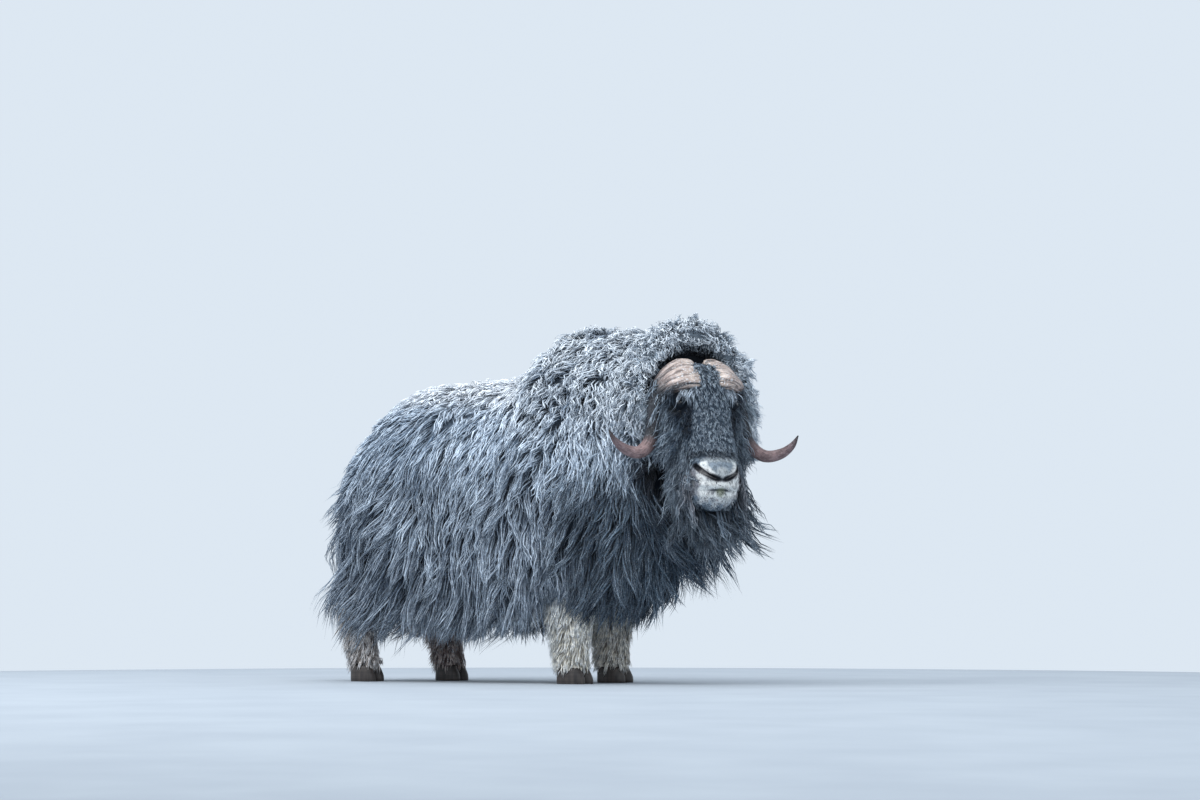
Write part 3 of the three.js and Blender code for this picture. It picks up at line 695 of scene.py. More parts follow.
def face_markings(p, lay):
    h = to_head(p)
    hx, hy, hz = h.T
    inside = ramp(hx, -112, -80) * (np.abs(hy) < 150) * (hz < 125) * (hz > -490)
    lay(inside, 0.5, FACE_DARK, FACE_LIGHT)
    cheek = inside * ramp(np.abs(hy), 60, 95) * fade(hz, -120, -30)
    lay(cheek, 0.36)
    beard = inside * fade(hx, 120, 190) * fade(hz, -260, -180)
    lay(beard, 0.3, CHEST_DARK)
    band = inside * ramp(hx, 120, 170) * fade(np.abs(hz + 246), 10, 22)
    lay(band * 0.8, 0.1, EYE_PATCH)
    for side in (1, -1):
        away = np.linalg.norm((h - at_side((80, 108, -40), side)) * (1, 1, 0.62), axis=1)
        lay(inside * fade(away, 22, 48), 0.04, EYE_PATCH, EYE_PATCH * 3)
        # Painted shade in the recess ahead of and below each eye.
        recess_shade = np.hypot(hx - 116, hy - 100 * side)
        lay(
            inside * fade(recess_shade, 14, 32) * ramp(hz, -200, -150) * fade(hz, -50, -20),
            0.1,
            EYE_PATCH,
            FACE_DARK * 2,
        )
        brow = np.linalg.norm((h - at_side((100, 92, 10), side)) * (1, 0.7, 1.4), axis=1)
        lay(inside * fade(brow, 16, 44), 0.95, None, COAT_LIGHT)
    muzzle_markings(h, inside, lay)


def muzzle_markings(h, inside, lay):
    """The nose pad, the white lips and chin, with edges that fray into the dark hair, painted shade along
    the mouth line and in the nostrils, and a painted highlight on the fold above each nostril.
    """
    hx, hy, hz = h.T
    fray = 7 * patches(h, 34, 21) + 4 * patches(h, 12, 22) - 3
    front = inside * ramp(hx, 110, 150)
    wide = along(MUZZLE_WIDE, hz) + fray
    within = fade(np.abs(hy) - wide, -14, 12)
    upper = front * within * ramp(hz + fray - 0.1 * np.abs(hy), -462, -426)
    upper = upper * fade(hz - fray * 0.4, -266, -254)
    lay(upper, 0.95, LIP_SIDE, MUZZLE)
    flank = front * fade(np.abs(hy) - wide, 4, 30) * (1 - within)
    flank = flank * ramp(hz, -424, -394) * fade(hz, -324, -284)
    lay(flank * 0.75, 0.6, LIP_SIDE * 0.5, LIP_SIDE)
    nose = upper * ramp(hz - 1.1 * np.abs(hy), -362, -344)
    lay(nose, 0.75, NOSE_LIGHT * 0.3, NOSE_LIGHT)
    bridge = upper * fade(np.hypot(hy * 0.9, hz + 322), 12, 34)
    lay(bridge * 0.8, 0.9, NOSE_LIGHT * 0.5, MUZZLE * 0.8)
    rim = upper * fade(np.abs(hz + 268 + 0.12 * np.abs(hy)), 3, 12)
    lay(rim * 0.6, 0.9, NOSE_LIGHT, MUZZLE)
    # Painted shade along the mouth line.
    lips = front * fade(np.abs(hz - MOUTH_Z + 4 * np.abs(hy / 60) ** 2), 2, 9) * fade(np.abs(hy), 26, 60)
    lay(lips * 0.85, 0.2, SHADE_DARK, NOSE_LIGHT * 0.6)
    green = front * fade(np.hypot(hy, hz + 396), 8, 26)
    lay(green * 0.6, 0.6, LIP_GREEN * 0.4, LIP_GREEN)
    t = np.linspace(0, 1, 15)
    for side in (1, -1):
        slit = nostril_curve(side, t)
        away = np.linalg.norm(h[:, None] - slit[None], axis=2).min(1)
        # Painted shade inside each nostril slit.
        lay(front * fade(away, 9, 17), 0.02, SHADE_DARK * 0.5, SHADE_DARK)
        # A painted highlight on the fold above each nostril.
        fold_highlight = np.linalg.norm((h - at_side((232, 64, -286), side)) * (0.5, 1, 1), axis=1)
        lay(front * fade(fold_highlight, 7, 20), 1.0, NOSE_LIGHT, MUZZLE)


# Coat.


SCATTER_TRIES = 9


def scatter(surface, u_span, angle_span, spacing, rng):
    """Places (u, angle) spread evenly over a surface, about a spacing apart."""
    u_mid = np.linspace(*u_span, 30)[:, None]
    a_mid = np.linspace(*angle_span, 60)[None]
    eps_u, eps_a = (u_span[1] - u_span[0]) * 1e-3, 1e-3

    def stretch(u, a):
        du = (surface(u + eps_u, a) - surface(u - eps_u, a)) / (2 * eps_u)
        da = (surface(u, a + eps_a) - surface(u, a - eps_a)) / (2 * eps_a)
        return np.linalg.norm(np.cross(du, da), axis=-1)

    grid = stretch(u_mid + 0 * a_mid, a_mid + 0 * u_mid)
    area = grid.mean() * (u_span[1] - u_span[0]) * (angle_span[1] - angle_span[0])
    top = np.percentile(grid, 99)
    count = int(area / spacing**2 * SCATTER_TRIES * top / grid.mean())
    u, a = rng.uniform(*u_span, count), rng.uniform(*angle_span, count)
    keep = rng.random(count) < stretch(u, a) / top
    u, a = u[keep], a[keep]
    cell = np.floor(surface(u, a) / (spacing * 1.2)).astype(int)
    first = np.unique(cell, axis=0, return_index=True)[1]
    return u[first], a[first]


RUMP_LIMIT, FLANK_LIMIT = -1190, 350


def held(p):
    """The points, with the rump's and the flanks' hair softly held inside the solids' box."""
    x, y, z = np.moveaxis(p, -1, 0)
    x = np.maximum(x, RUMP_LIMIT + 60 * np.tanh(np.minimum(0, x - RUMP_LIMIT) / 60))
    over = np.abs(y) - FLANK_LIMIT
    y = np.where(over > 0, np.sign(y) * (FLANK_LIMIT + 34 * np.tanh(over / 34)), y)
    return np.stack([x, y, z], -1)


class Guides:
    """Guide hairs: where they start, how they fall, and what grows round each."""

    FIELDS = ("root", "up", "fall", "length", "lift", "width", "spread", "clump", "wave", "cycles")

    def __init__(self, skin, points, reach=34, **values):
        place, up, away = skin.nearest(points)
        near = away < reach
        self.root, self.up = place[near], up[near]
        self.near = near
        count = near.sum()
        for name, value in values.items():
            value = np.asarray(value, float)
            if name == "fall":
                value = np.broadcast_to(value, (len(points), 3))[near]
            else:
                value = np.broadcast_to(value, (len(points),))[near]
            setattr(self, name, value.copy())
        self.count = count

    def kept(self, mask):
        for name in self.FIELDS:
            setattr(self, name, getattr(self, name)[mask])
        self.count = int(mask.sum())
        return self

    def part(self, mask):
        return copy.copy(self).kept(mask)


def rise(s):
    return 1 - (1 - np.clip(s / 0.45, 0, 1)) ** 2


WIND = 0.5


def sway(g, at, s):
    """How the wind bends hair on its way down: one way at first and then the other, alike over a patch."""
    bend = patches(at * (1, 1, 0.5), 230, 31) * WIND * np.minimum(1.2, g.length / 230) * (2.2 * s - 0.7)
    return np.stack([bend, 0 * bend, 0 * bend], -1)


def trace(skin, g, steps, rng, tousle):
    """The path of each guide hair: down its fall, held off the skin by its lift."""
    fall = unit(g.fall + rng.normal(0, 1, (g.count, 3)) * tousle)
    path = np.empty((g.count, steps + 1, 3))
    ups = np.empty_like(path)
    path[:, 0], ups[:, 0] = g.root, g.up
    at, up = g.root.copy(), g.up.copy()
    for k in range(1, steps + 1):
        now_fall = fall + sway(g, at, k / steps)
        way = unit(now_fall - up * np.minimum(0, dot(now_fall, up)))
        at = at + way * (g.length / steps)[:, None]
        near, now, _ = skin.nearest(at)
        height = dot(at - near, now)[:, 0]
        want = g.lift * rise(k / steps)
        at = at + now * np.maximum(0, want - height)[:, None]
        loose = np.maximum(0, height - want * 1.3) * ramp(now[:, 2], 0.0, 0.3)
        at = at - now * (loose * 0.6)[:, None]
        at = held(at)
        at[:, 2] = np.maximum(at[:, 2], 14)
        up = unit(up + now)
        path[:, k], ups[:, k] = at, up
    return path, ups


def at_steps(values, s):
    """Values given at even steps, read at shares s of the way, one row of shares for each path."""
    steps = values.shape[1] - 1
    at = np.clip(s * steps, 0, steps - 1e-6)
    i = at.astype(int)
    w = (at - i)[..., None]
    rows = np.arange(len(values))[:, None]
    return values[rows, i] * (1 - w) + values[rows, i + 1] * w


PROFILE = {
    "rope": [(0, 0.7), (0.25, 1), (0.6, 0.9), (0.85, 0.55), (1, 0.25)],
    "wool": [(0, 0.7), (0.3, 1), (0.7, 1), (0.9, 0.8), (1, 0.5)],
    "fine": [(0, 0.9), (0.4, 1), (0.8, 0.6), (1, 0.3)],
}


GUIDE_STEPS = 8
# A strand's least share of its guide's length, how deep under the guide it may lie, and how flat it is.
SHORTEST, SUNK, FLATNESS = 0.7, 0.65, 0.42
LOWEST_HAIR = 10


def strands(skin, g, per, rings, rng, profile="rope", tousle=0.12, fluff=0.15):
    """The hair strands that grow round the guides, as arrays of points and of the values that their colours
    are worked from.
    """
    path, ups = trace(skin, g, GUIDE_STEPS, rng, tousle)
    owner = np.repeat(np.arange(g.count), per)
    n = len(owner)
    out = g.up[owner]
    side = unit(np.cross(out, g.fall[owner]) + 1e-6)
    ahead = np.cross(side, out)
    r, a = np.sqrt(rng.random(n)) * g.spread[owner], rng.uniform(0, 2 * np.pi, n)
    offset = side * (r * np.cos(a))[:, None] + ahead * (r * np.sin(a))[:, None]
    root, _, _ = skin.nearest(g.root[owner] + offset)
    offset = root - g.root[owner]

    s = np.linspace(0, 1, rings + 1)[None] * np.ones((n, 1))
    reach = s * rng.uniform(SHORTEST, 1.0, (n, 1))
    base = at_steps(path[owner], reach)
    up = unit(at_steps(ups[owner], reach))
    tangent = unit(np.gradient(base, axis=1))
    across = unit(np.cross(tangent, up) + 1e-9)
    out = np.cross(across, tangent)

    loose = rng.random((n, 1)) < fluff
    pull = 1 - g.clump[owner][:, None] * np.where(loose, 0.2, 1.0) * s**1.3
    depth = rng.uniform(-SUNK, 0.18, (n, 1))
    phase = rng.uniform(0, 2 * np.pi, g.count)[owner][:, None] + rng.normal(0, 1.0, (n, 1))
    cycles = (g.cycles[owner] * rng.uniform(0.75, 1.25, n))[:, None]
    swing = (g.wave[owner] * rng.uniform(0.6, 1.3, n))[:, None] * s**0.8
    turn = 2 * np.pi * cycles * s + phase
    centre = (
        base
        + offset[:, None] * pull[..., None]
        + up * (depth * g.lift[owner][:, None] * rise(s))[..., None]
        + across * (swing * np.sin(turn))[..., None]
        + out * (swing * 0.6 * np.cos(turn))[..., None]
    )
    centre = held(centre)
    centre[:, 0] = root - g.up[owner] * 4
    centre[..., 2] = np.maximum(centre[..., 2], LOWEST_HAIR)

    half = (g.width[owner] * rng.uniform(0.75, 1.25, n))[:, None] / 2 * along(PROFILE[profile], s)
    half = half * np.where(loose, 0.45, 1.0)
    thick = half * FLATNESS * 2
    rim = centre[:, :-1]
    w, d = half[:, :-1, None], thick[:, :-1, None]
    sideways, outward_way = across[:, :-1] * w, out[:, :-1] * d
    low = rim - outward_way * 0.3
    ring = np.stack([low + sideways, rim + outward_way * 0.7, low - sideways], 2)
    ring[..., 2] = np.maximum(ring[..., 2], 8)
    points = np.concatenate([ring.reshape(n, rings * 3, 3), centre[:, -1:]], 1)
    share = np.concatenate([np.repeat(s[:, :-1], 3, 1), s[:, -1:]], 1)
    rank = (depth[:, 0] + SUNK) / (SUNK + 0.18)
    tone = rng.normal(0, 1, g.count)[owner]
    return {
        "points": points,
        "share": share,
        "rank": rank,
        "tone": tone,
        "root": root,
        "rings": rings,
        "length": g.length[owner],
    }


def lock_faces(rings):
    """Triangles of one closed strand of three-sided rings that ends in a tip."""
    faces = [(0, 2, 1)]
    for r in range(rings - 1):
        for k in range(3):
            a, b = r * 3 + k, r * 3 + (k + 1) % 3
            faces += [(a, b, b + 3), (a, b + 3, a + 3)]
    last, tip = (rings - 1) * 3, rings * 3
    faces += [(last + k, last + (k + 1) % 3, tip) for k in range(3)]
    return np.array(faces)


CONTRAST = 0.45


def tints(hair, rng):
    """The colour of every point of the strands, lightest with frost at the outer tips."""
    n = len(hair["root"])
    dark, light, frost = markings(hair["root"])
    frost = frost[:, None]
    share, outer = hair["share"], hair["rank"][:, None]
    amount = frost * (0.2 + 1.0 * share) * (0.42 + 0.8 * outer)
    amount = amount + CONTRAST * frost * (0.4 * hair["tone"][:, None] + 0.35 * rng.normal(0, 1, (n, 1)))
    amount = np.clip(amount, 0, 1)[..., None]
    shade = (0.45 + 0.55 * ramp(share, 0, 0.4))[..., None]
    rgb = mix(dark[:, None], light[:, None], amount) * shade
    flecks = (frost * ramp(share, 0.1, 0.7) * (0.4 + 0.6 * outer))[..., None]
    return np.concatenate([rgb, flecks], -1)


TRIANGLES_PER_PIECE = 190000


def coat_pieces(name, hair, material, rng):
    """Objects of the strands, each under the limit of triangles and each with its bake map."""
    faces = lock_faces(hair["rings"])
    rgb = tints(hair, rng)
    order = np.argsort(hair["root"][:, 0], kind="stable")
    per_piece = TRIANGLES_PER_PIECE // len(faces)
    groups = np.array_split(order, max(1, math.ceil(len(order) / per_piece)))
    for number, group in enumerate(groups, 1):
        label = f"{name}_{number}" if len(groups) > 1 else name
        coat_piece(label, hair, rgb, faces, group, material, rng)


# The side of one tuft's patch in the bake map.
BAKE_PATCH = 0.003


def coat_piece(label, hair, rgb, faces, group, material, rng):
    points = hair["points"][group]
    count, size = points.shape[:2]
    triangles = (faces[None] + (np.arange(count) * size)[:, None, None]).reshape(-1, 3)
    mesh = bpy.data.meshes.new(label)
    mesh.vertices.add(count * size)
    mesh.vertices.foreach_set("co", to_world(points.reshape(-1, 3)).astype(np.float32).ravel())
    mesh.loops.add(triangles.size)
    mesh.loops.foreach_set("vertex_index", triangles.ravel().astype(np.int32))
    mesh.polygons.add(len(triangles))
    mesh.polygons.foreach_set("loop_start", np.arange(0, triangles.size, 3, dtype=np.int32))
    paint(mesh, "Tint", rgb[group])
    rim = np.append(np.tile([0.0, 1.0, 2.0], hair["rings"]), 1.0)
    fibre = np.stack(
        [
            rim[None] + rng.uniform(0, 200, (count, 1)),
            hair["share"][group] * hair["length"][group][:, None] * 0.012,
            np.zeros((count, size)),
        ],
        -1,
    )
    paint(mesh, "Fibre", fibre)
    rise_up = np.append(np.repeat(np.linspace(0, 0.9, hair["rings"]), 3), 1)
    patch = BAKE_PATCH * np.stack([rim / 2, rise_up], -1)
    uv = bake_places(hair["root"][group])[:, None] + patch[None]
    uv = uv.reshape(-1, 2)[triangles.ravel()]
    mesh.uv_layers.new(name="OFBake").uv.foreach_set("vector", uv.astype(np.float32).ravel())
    mesh.update(calc_edges=True)
    smooth(mesh)
    mesh.materials.append(material)
    obj = add(label, mesh)
    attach(obj, "root")


def bake_places(root):
    """Where each root lies on a cylinder unwrapped round the piece, spread over the whole square."""
    low, high = root.min(0), root.max(0)
    mid = (low + high) / 2
    size = high - low
    axis = int(np.argmax(size))
    a, b = [i for i in range(3) if i != axis]
    u = np.arctan2(root[:, b] - mid[b], root[:, a] - mid[a]) / (2 * np.pi) + 0.5
    v = (root[:, axis] - low[axis]) / max(size[axis], 1)
    return np.stack([u, v], -1) * 0.99


def folded(angle):
    """How far up the flank an angle is, in degrees: 90 on the back, 0 at the side, -90 under the belly."""
    return np.degrees(np.arcsin(np.sin(angle)))


# How low the coat hangs along the body, and over the near front leg.
HEM = [(-1100, 95), (-760, 125), (-300, 165), (-120, 200), (370, 215)]
HEM_OVER_LEG = 315


def torso_guides(skin, rng):
    x, a = scatter(torso_point, (RUMP_X + 4, CHEST_X - 4), (math.radians(-80), math.radians(260)), 35, rng)
    e = folded(a)
    p = torso_point(x, a)
    back = fade(x, -760, -520)
    hump = ramp(x, -230, -60) * ramp(e, -5, 35)
    saddle = ramp(e, 36, 60) * fade(x, -240, -120)
    length = mix(190, 300, fade(e, -40, 0)) * (1 + 0.22 * back)
    length = mix(mix(length, 74, saddle), 84, hump)
    lift = mix(mix(35, 22, saddle), 50, hump)
    over_leg = fade(np.abs(x - FEET["front_right"][0]), 60, 130) * (p[:, 1] < 0)
    hem = mix(along(HEM, x), HEM_OVER_LEG, over_leg)
    length = length * rng.uniform(0.8, 1.12, len(x))
    length = np.minimum(length, np.maximum(60, (p[:, 2] - hem) * rng.uniform(0.95, 1.25, len(x))))
    values = dict(
        fall=unit(np.stack([-0.2 - 0.5 * back - 0.2 * saddle, 0.05 * np.sign(p[:, 1]), -1 + 0 * x], -1)),
        length=length,
        lift=lift * rng.uniform(0.7, 1.2, len(x)),
        width=mix(mix(7, 5.5, saddle), 6.5, hump),
        spread=mix(27, 26, hump),
        clump=mix(mix(0.66, 0.25, saddle), 0.5, hump),
        wave=mix(mix(9, 4, saddle), 8, hump),
        cycles=mix(mix(1.6, 1.4, saddle), 1.8, hump),
    )
    g = Guides(skin, p, **values)
    woolly = np.maximum(hump, saddle)[g.near] > 0.5
    return g, woolly


def neck_guides(skin, rng):
    t, a = scatter(neck_point, (0.12, 0.93), (math.radians(-90), math.radians(270)), 35, rng)
    e = folded(a)
    p = neck_point(t, a)
    low = fade(e, -50, 0)
    top = ramp(e, 0, 35)
    swept = 0.62 * low
    values = dict(
        fall=unit(np.stack([swept - 0.15, swept * 0.5, -1 + 0 * t], -1)),
        length=mix(mix(210, 360, low), 88, top) * rng.uniform(0.75, 1.12, len(t)),
        lift=mix(mix(46, 40, low), 44, top) * rng.uniform(0.8, 1.15, len(t)),
        width=mix(7, 6.5, top),
        spread=28,
        clump=mix(mix(0.7, 0.6, low), 0.55, top),
        wave=mix(10, 8, low),
        cycles=1.8,
    )
    g = Guides(skin, p, **values)
    woolly = top[g.near] > 0.5
    return g, woolly


def hood_guides(skin, rng):
    """Woolly clumps all over the roll that stands round the head."""
    a, b = scatter(
        hood_place,
        (math.radians(HOOD_FROM - 2), math.radians(HOOD_TO + 2)),
        (math.radians(-80), math.radians(190)),
        24,
        rng,
    )
    p = hood_place(a, b)
    over = np.maximum(0, np.sin(a))
    h = to_head(p)
    inner = fade(np.hypot(h[:, 1], np.maximum(0, h[:, 2] - 20)), 170, 215)
    stand = unit(p - hood_place(a, b, -20))
    fall = stand * 0.55 + FORWARD * (0.25 * over)[:, None] + DOWN * (0.9 - 0.5 * over)[:, None]
    values = dict(
        fall=unit(fall),
        length=(54 + 22 * (1 - over)) * (1 - 0.55 * inner) * rng.uniform(0.75, 1.2, len(a)),
        lift=(28 + 2 * over) * (1 - 0.5 * inner) * rng.uniform(0.6, 1.2, len(a)),
        width=4.8,
        spread=22,
        clump=0.36,
        wave=8,
        cycles=1.6,
    )
    return Guides(skin, p, reach=44, **values)


BROW_HAIR = (104, 98, 2)


def head_place(z, angle):
    return from_head(head_point(z, angle))


def head_guides(skin, rng):
    z, a = scatter(head_place, (-460, 112), (math.radians(-90), math.radians(270)), 12, rng)
    p = head_place(z, a)
    h = to_head(p)
    hx, hy = h[:, 0], h[:, 1]
    cheek = ramp(np.abs(hy), 92, 114) * fade(hx, 110, 160)
    muzzle = ramp(hx, 130, 180) * fade(z, -278, -252) * fade(np.abs(hy) - along(MUZZLE_WIDE, z), 2, 24)
    jaw = fade(z, -250, -170) * fade(hx, 90, 150)
    crown = ramp(z, 0, 40)
    furrow = crown * fade(np.abs(hy), 13, 22) * ramp(hx, -20, 10)
    length = mix(mix(21, 92, cheek), 27, crown)
    length = mix(mix(length, 90, jaw), mix(13, 7, ramp(z, -360, -345)), muzzle)
    lift = mix(mix(6, 46, cheek), 8, crown)
    lift = mix(mix(lift, 14, furrow), mix(4, 2, ramp(z, -360, -345)), muzzle)
    folded_over = np.stack([np.abs(hx), np.abs(hy), h[:, 2]], -1)
    brow = fade(np.linalg.norm((folded_over - BROW_HAIR) * (1, 0.7, 1.2), axis=1), 18, 44)
    length, lift = mix(length, 62, brow), mix(lift, 20, brow)
    direction = np.stack([0.25 - 0.3 * cheek, 0.35 * np.sign(hy) * cheek, -1 + 0 * hx], -1)
    values = dict(
        fall=unit(direction @ HEAD_TURN.T),
        length=length * rng.uniform(0.75, 1.25, len(z)),
        lift=lift,
        width=mix(mix(3.2, 5, cheek), 2.4, muzzle),
        spread=mix(9, 7, muzzle),
        clump=0.5,
        wave=mix(mix(2.5, 9, cheek), 0.4, muzzle),
        cycles=1.5,
    )
    g = Guides(skin, p, reach=26, **values)
    return g.kept(off_the_bare_places(to_head(g.root)))


def off_the_bare_places(h):
    """True where the head grows hair: not on the eyes, lips' edges, nostrils or the neck's face."""
    keep = h[:, 0] > NECK_FACE + 8
    keep &= (h[:, 0] < 150) | (np.abs(h[:, 2] - MOUTH_Z - 2) > 7)
    t = np.linspace(0, 1, 9)
    for side in (1, -1):
        keep &= np.linalg.norm(h - at_side(EYE_AT, side), axis=1) > EYE_RADIUS + 12
        slit = nostril_curve(side, t)
        keep &= np.linalg.norm(h[:, None] - slit[None], axis=2).min(1) > 15
    return keep


def temple_guides(skin, rng):
    """The thick hair of the temples and cheeks, from which only the horns' ends stand out."""
    z, a = scatter(head_place, (-235, 56), (math.radians(-60), math.radians(240)), 19, rng)
    h = head_point(z, a)
    reach_forward = mix(14, 76, fade(z, -150, -100))
    pick = (np.abs(h[:, 1]) > 84) & (h[:, 0] < reach_forward) & (h[:, 0] > -96)
    z, h = z[pick], h[pick]
    side = np.sign(h[:, 1])
    fall = np.stack([0 * z - 0.1, 0.6 * side, -1 + 0 * z], -1)
    values = dict(
        fall=unit(fall @ HEAD_TURN.T),
        length=mix(115, 165, ramp(z, -160, -20)) * rng.uniform(0.7, 1.15, len(z)),
        lift=72 * rng.uniform(0.75, 1.12, len(z)),
        width=5.5,
        spread=20,
        clump=0.5,
        wave=10,
        cycles=1.7,
    )
    g = Guides(skin, from_head(h), reach=26, **values)
    away = np.abs(to_head(g.root)) - EYE_AT
    return g.kept(np.linalg.norm(away, axis=1) > 52)


def beard_guides(skin, rng):
    z, a = scatter(head_place, (-471, -225), (math.radians(-90), math.radians(270)), 21, rng)
    h = head_point(z, a)
    behind = fade(h[:, 0], 110, 170) * fade(z, -300, -200)
    pick = (behind > 0.3) | (z < -468)
    z, h = z[pick], h[pick]
    deep = fade(h[:, 0], 30, 140)
    values = dict(
        fall=unit(np.array([0.1, 0.3, -1.0]) @ HEAD_TURN.T)[None],
        length=mix(190, 330, deep) * rng.uniform(0.6, 1.1, len(z)),
        lift=mix(16, 34, deep),
        width=6,
        spread=22,
        clump=0.55,
        wave=12,
        cycles=2.8,
    )
    return Guides(skin, from_head(h), reach=26, **values)


def leg_guides(skin, name, rng):
    levels = FRONT_LEG if name.startswith("front") else REAR_LEG
    offset = np.array([*FEET[name], 0.0])
    place = lambda z, a: leg_point(levels, z, a) + offset
    z, a = scatter(place, (68, levels[-1][0] - 10), (0, 2 * math.pi), 19, rng)
    up = ramp(z, 110, 330)
    behind = 0.5 - 0.5 * np.sin(a)
    values = dict(
        fall=unit(np.stack([-0.05 - 0.25 * behind, 0 * z, -1 + 0 * z], -1)),
        length=(mix(56, 100, up) * (1 + 0.4 * behind)) * rng.uniform(0.8, 1.15, len(z)),
        lift=mix(10, 19, up) * (1 + 0.5 * behind),
        width=mix(4.3, 6, up),
        spread=15,
        clump=mix(0.3, 0.55, up),
        wave=mix(3, 6, up),
        cycles=1.4,
    )
    g = Guides(skin, place(z, a), reach=22, **values)
    g.length = np.minimum(g.length, np.maximum(22, g.root[:, 2] - 26))
    return g


def tail_guides(skin, rng):
    t = rng.random(90)
    p = bezier((-1040, 0, 915), (-1105, 0, 890), (-1122, 0, 775), t) + rng.normal(0, 22, (90, 3))
    return Guides(
        skin,
        p,
        reach=60,
        fall=unit(np.array([-0.25, 0, -1.0]))[None],
        length=170,
        lift=14,
        width=7,
        spread=26,
        clump=0.6,
        wave=6,
        cycles=1.4,
    )


def ear_guides(skin, side, rng):
    t = rng.uniform(0.1, 1, 70)
    p = ear_curve(side, t) + rng.normal(0, 16, (70, 3))
    fall = unit(np.array([-0.15, 0.75 * side, 0.2]) @ HEAD_TURN.T)[None]
    return Guides(
        skin, from_head(p), reach=40, fall=fall, length=46, lift=8, width=6, spread=16, clump=0.5, wave=4,
        cycles=1.0,
    )


def make_coat(skin, head, materials):
    rng = np.random.default_rng(SEED)

    def grow(name, slot, surface, guides, per, rings, profile="rope", **look):
        coat_pieces(
            name, strands(surface, guides, per, rings, rng, profile, **look), materials["hair"], rng
        )

    for name, slot, (guides, woolly) in (
        ("trunk", "coat", torso_guides(skin, rng)), ("neck", "mane", neck_guides(skin, rng))
    ):
        grow("coat_" + name, slot, skin, guides.part(~woolly), 11, 5, tousle=0.2, fluff=0.35)
        grow("wool_" + name, slot, skin, guides.part(woolly), 13, 4, "wool", tousle=0.35, fluff=0.35)
    grow("wool_hood", "mane", skin, hood_guides(skin, rng), 13, 4, "wool", tousle=0.4, fluff=0.35)
    grow("coat_face", "face_fur", head, head_guides(head, rng), 5, 3, "fine", tousle=0.25)
    grow("coat_temple", "face_fur", head, temple_guides(head, rng), 9, 5, tousle=0.2, fluff=0.25)
    grow("coat_beard", "face_fur", skin, beard_guides(skin, rng), 9, 6, tousle=0.25, fluff=0.3)
    for name in FEET:
        grow("coat_leg_" + name, "leg_fur", skin, leg_guides(skin, name, rng), 6, 3, tousle=0.15)
    grow("coat_tail", "coat", skin, tail_guides(skin, rng), 8, 5)
    for side, word in ((1, "left"), (-1, "right")):
        grow("coat_ear_" + word, "mane", skin, ear_guides(skin, side, rng), 6, 4)


# Horns, eyes and hooves.


def make_horn(side, material):
    """A horn sheath: a broad rough pad with cracked fibres that narrows to a smooth hook."""
    rings, sides = 160, 96
    curve = lambda t: through([(x, y * side, z) for x, y, z in HORN_PATH], t)
    points, faces = rod(
        curve, HORN_WIDE, HORN_THICK, (0.87, 0, -0.49), rings=rings, sides=sides, squareness=0.86
    )
    share = np.append(np.repeat(np.linspace(0, 1, rings + 1), sides), [0, 1])
    a = np.append(np.tile(around(sides), rings + 1), [0, 0])
    centre = curve(share)
    out = points - centre
    round_end = along([(0, 0.8), (0.012, 0.93), (0.04, 1), (1, 1)], share)
    fibre = np.stack([60 * np.cos(a), 60 * np.sin(a), share * 260], -1)
    ridges = patches(fibre, 26, 41 + side) + 0.6 * patches(fibre, 12, 43 + side)
    cracks = np.exp(-((patches(fibre * (1, 1, 0.5), 40, 45 + side) / 0.13) ** 2))
    rough = fade(share, 0.14, 0.34)
    ends = (points - centre).any(1)
    relief = ((ridges * 2.4 - cracks * 4.5) * (rough + 0.05) - 0.8) * ends
    points = centre + out * round_end[:, None] + unit(out) * relief[:, None]
    mesh = mesh_of("horn", from_head(points), faces)
    smooth(mesh)
    mesh.materials.append(material)
    grain = np.stack([a * 3, share * 10, 0 * a], -1)
    paint(mesh, "Fibre", grain)
    paint(mesh, "Share", share)
    # Darker in the cracks and in the low places between the ridges of the rough pad.
    darker_in_hollows = np.clip(cracks * rough + 0.4 * rough * ramp(-ridges, 0.2, 1.4), 0, 1)
    paint(mesh, "Crack", darker_in_hollows)
    return mesh


def make_eye(side, material):
    points, faces = ball(EYE_RADIUS, (0, 0, 0), rings=32, sides=48)
    out = unit(np.array([0.55, 0.83 * side, 0.02]))
    facing = (unit(points) @ out)[:, None]
    points = points * (1 + 0.035 * ramp(facing, 0.82, 0.97))
    mesh = mesh_of("eye", from_head(points * 0.995 + at_side(EYE_AT, side)), faces)
    smooth(mesh)
    paint(mesh, "Facing", facing)
    mesh.materials.append(material)
    return mesh


def make_claw(name, claw_side, material):
    x, y = FEET[name]
    size = 1 if name.startswith("front") else 0.9
    z = np.array([0, 0, 4, 12, 24, 40, 55, 64.5])
    shrink = np.array([0.9, 0.96, 1, 1, 1, 0.99, 0.97, 0.93])
    a = around(40)
    fore = along([(0, 15), (24, 14), (65.5, 4)], z)[:, None]
    long = (along([(0, 63), (24, 62), (65.5, 52)], z) * shrink)[:, None]
    widths = [(0, CLAW_HALF_WIDTH - 1), (24, CLAW_HALF_WIDTH), (65.5, CLAW_HALF_WIDTH - 3)]
    wide = (along(widths, z) * shrink)[:, None]
    px = (fore + long * power(np.cos(a), 0.8)) * size + x
    py = claw_side * (CLAW_HALF_WIDTH + CLAW_PART) + wide * np.sin(a) * 0.95 + y
    rings = np.stack([px, py, z[:, None] + 0 * px], -1)
    mesh = mesh_of("claw", *outward(closed(rings)))
    smooth(mesh)
    mesh.materials.append(material)
    return mesh


# Materials.


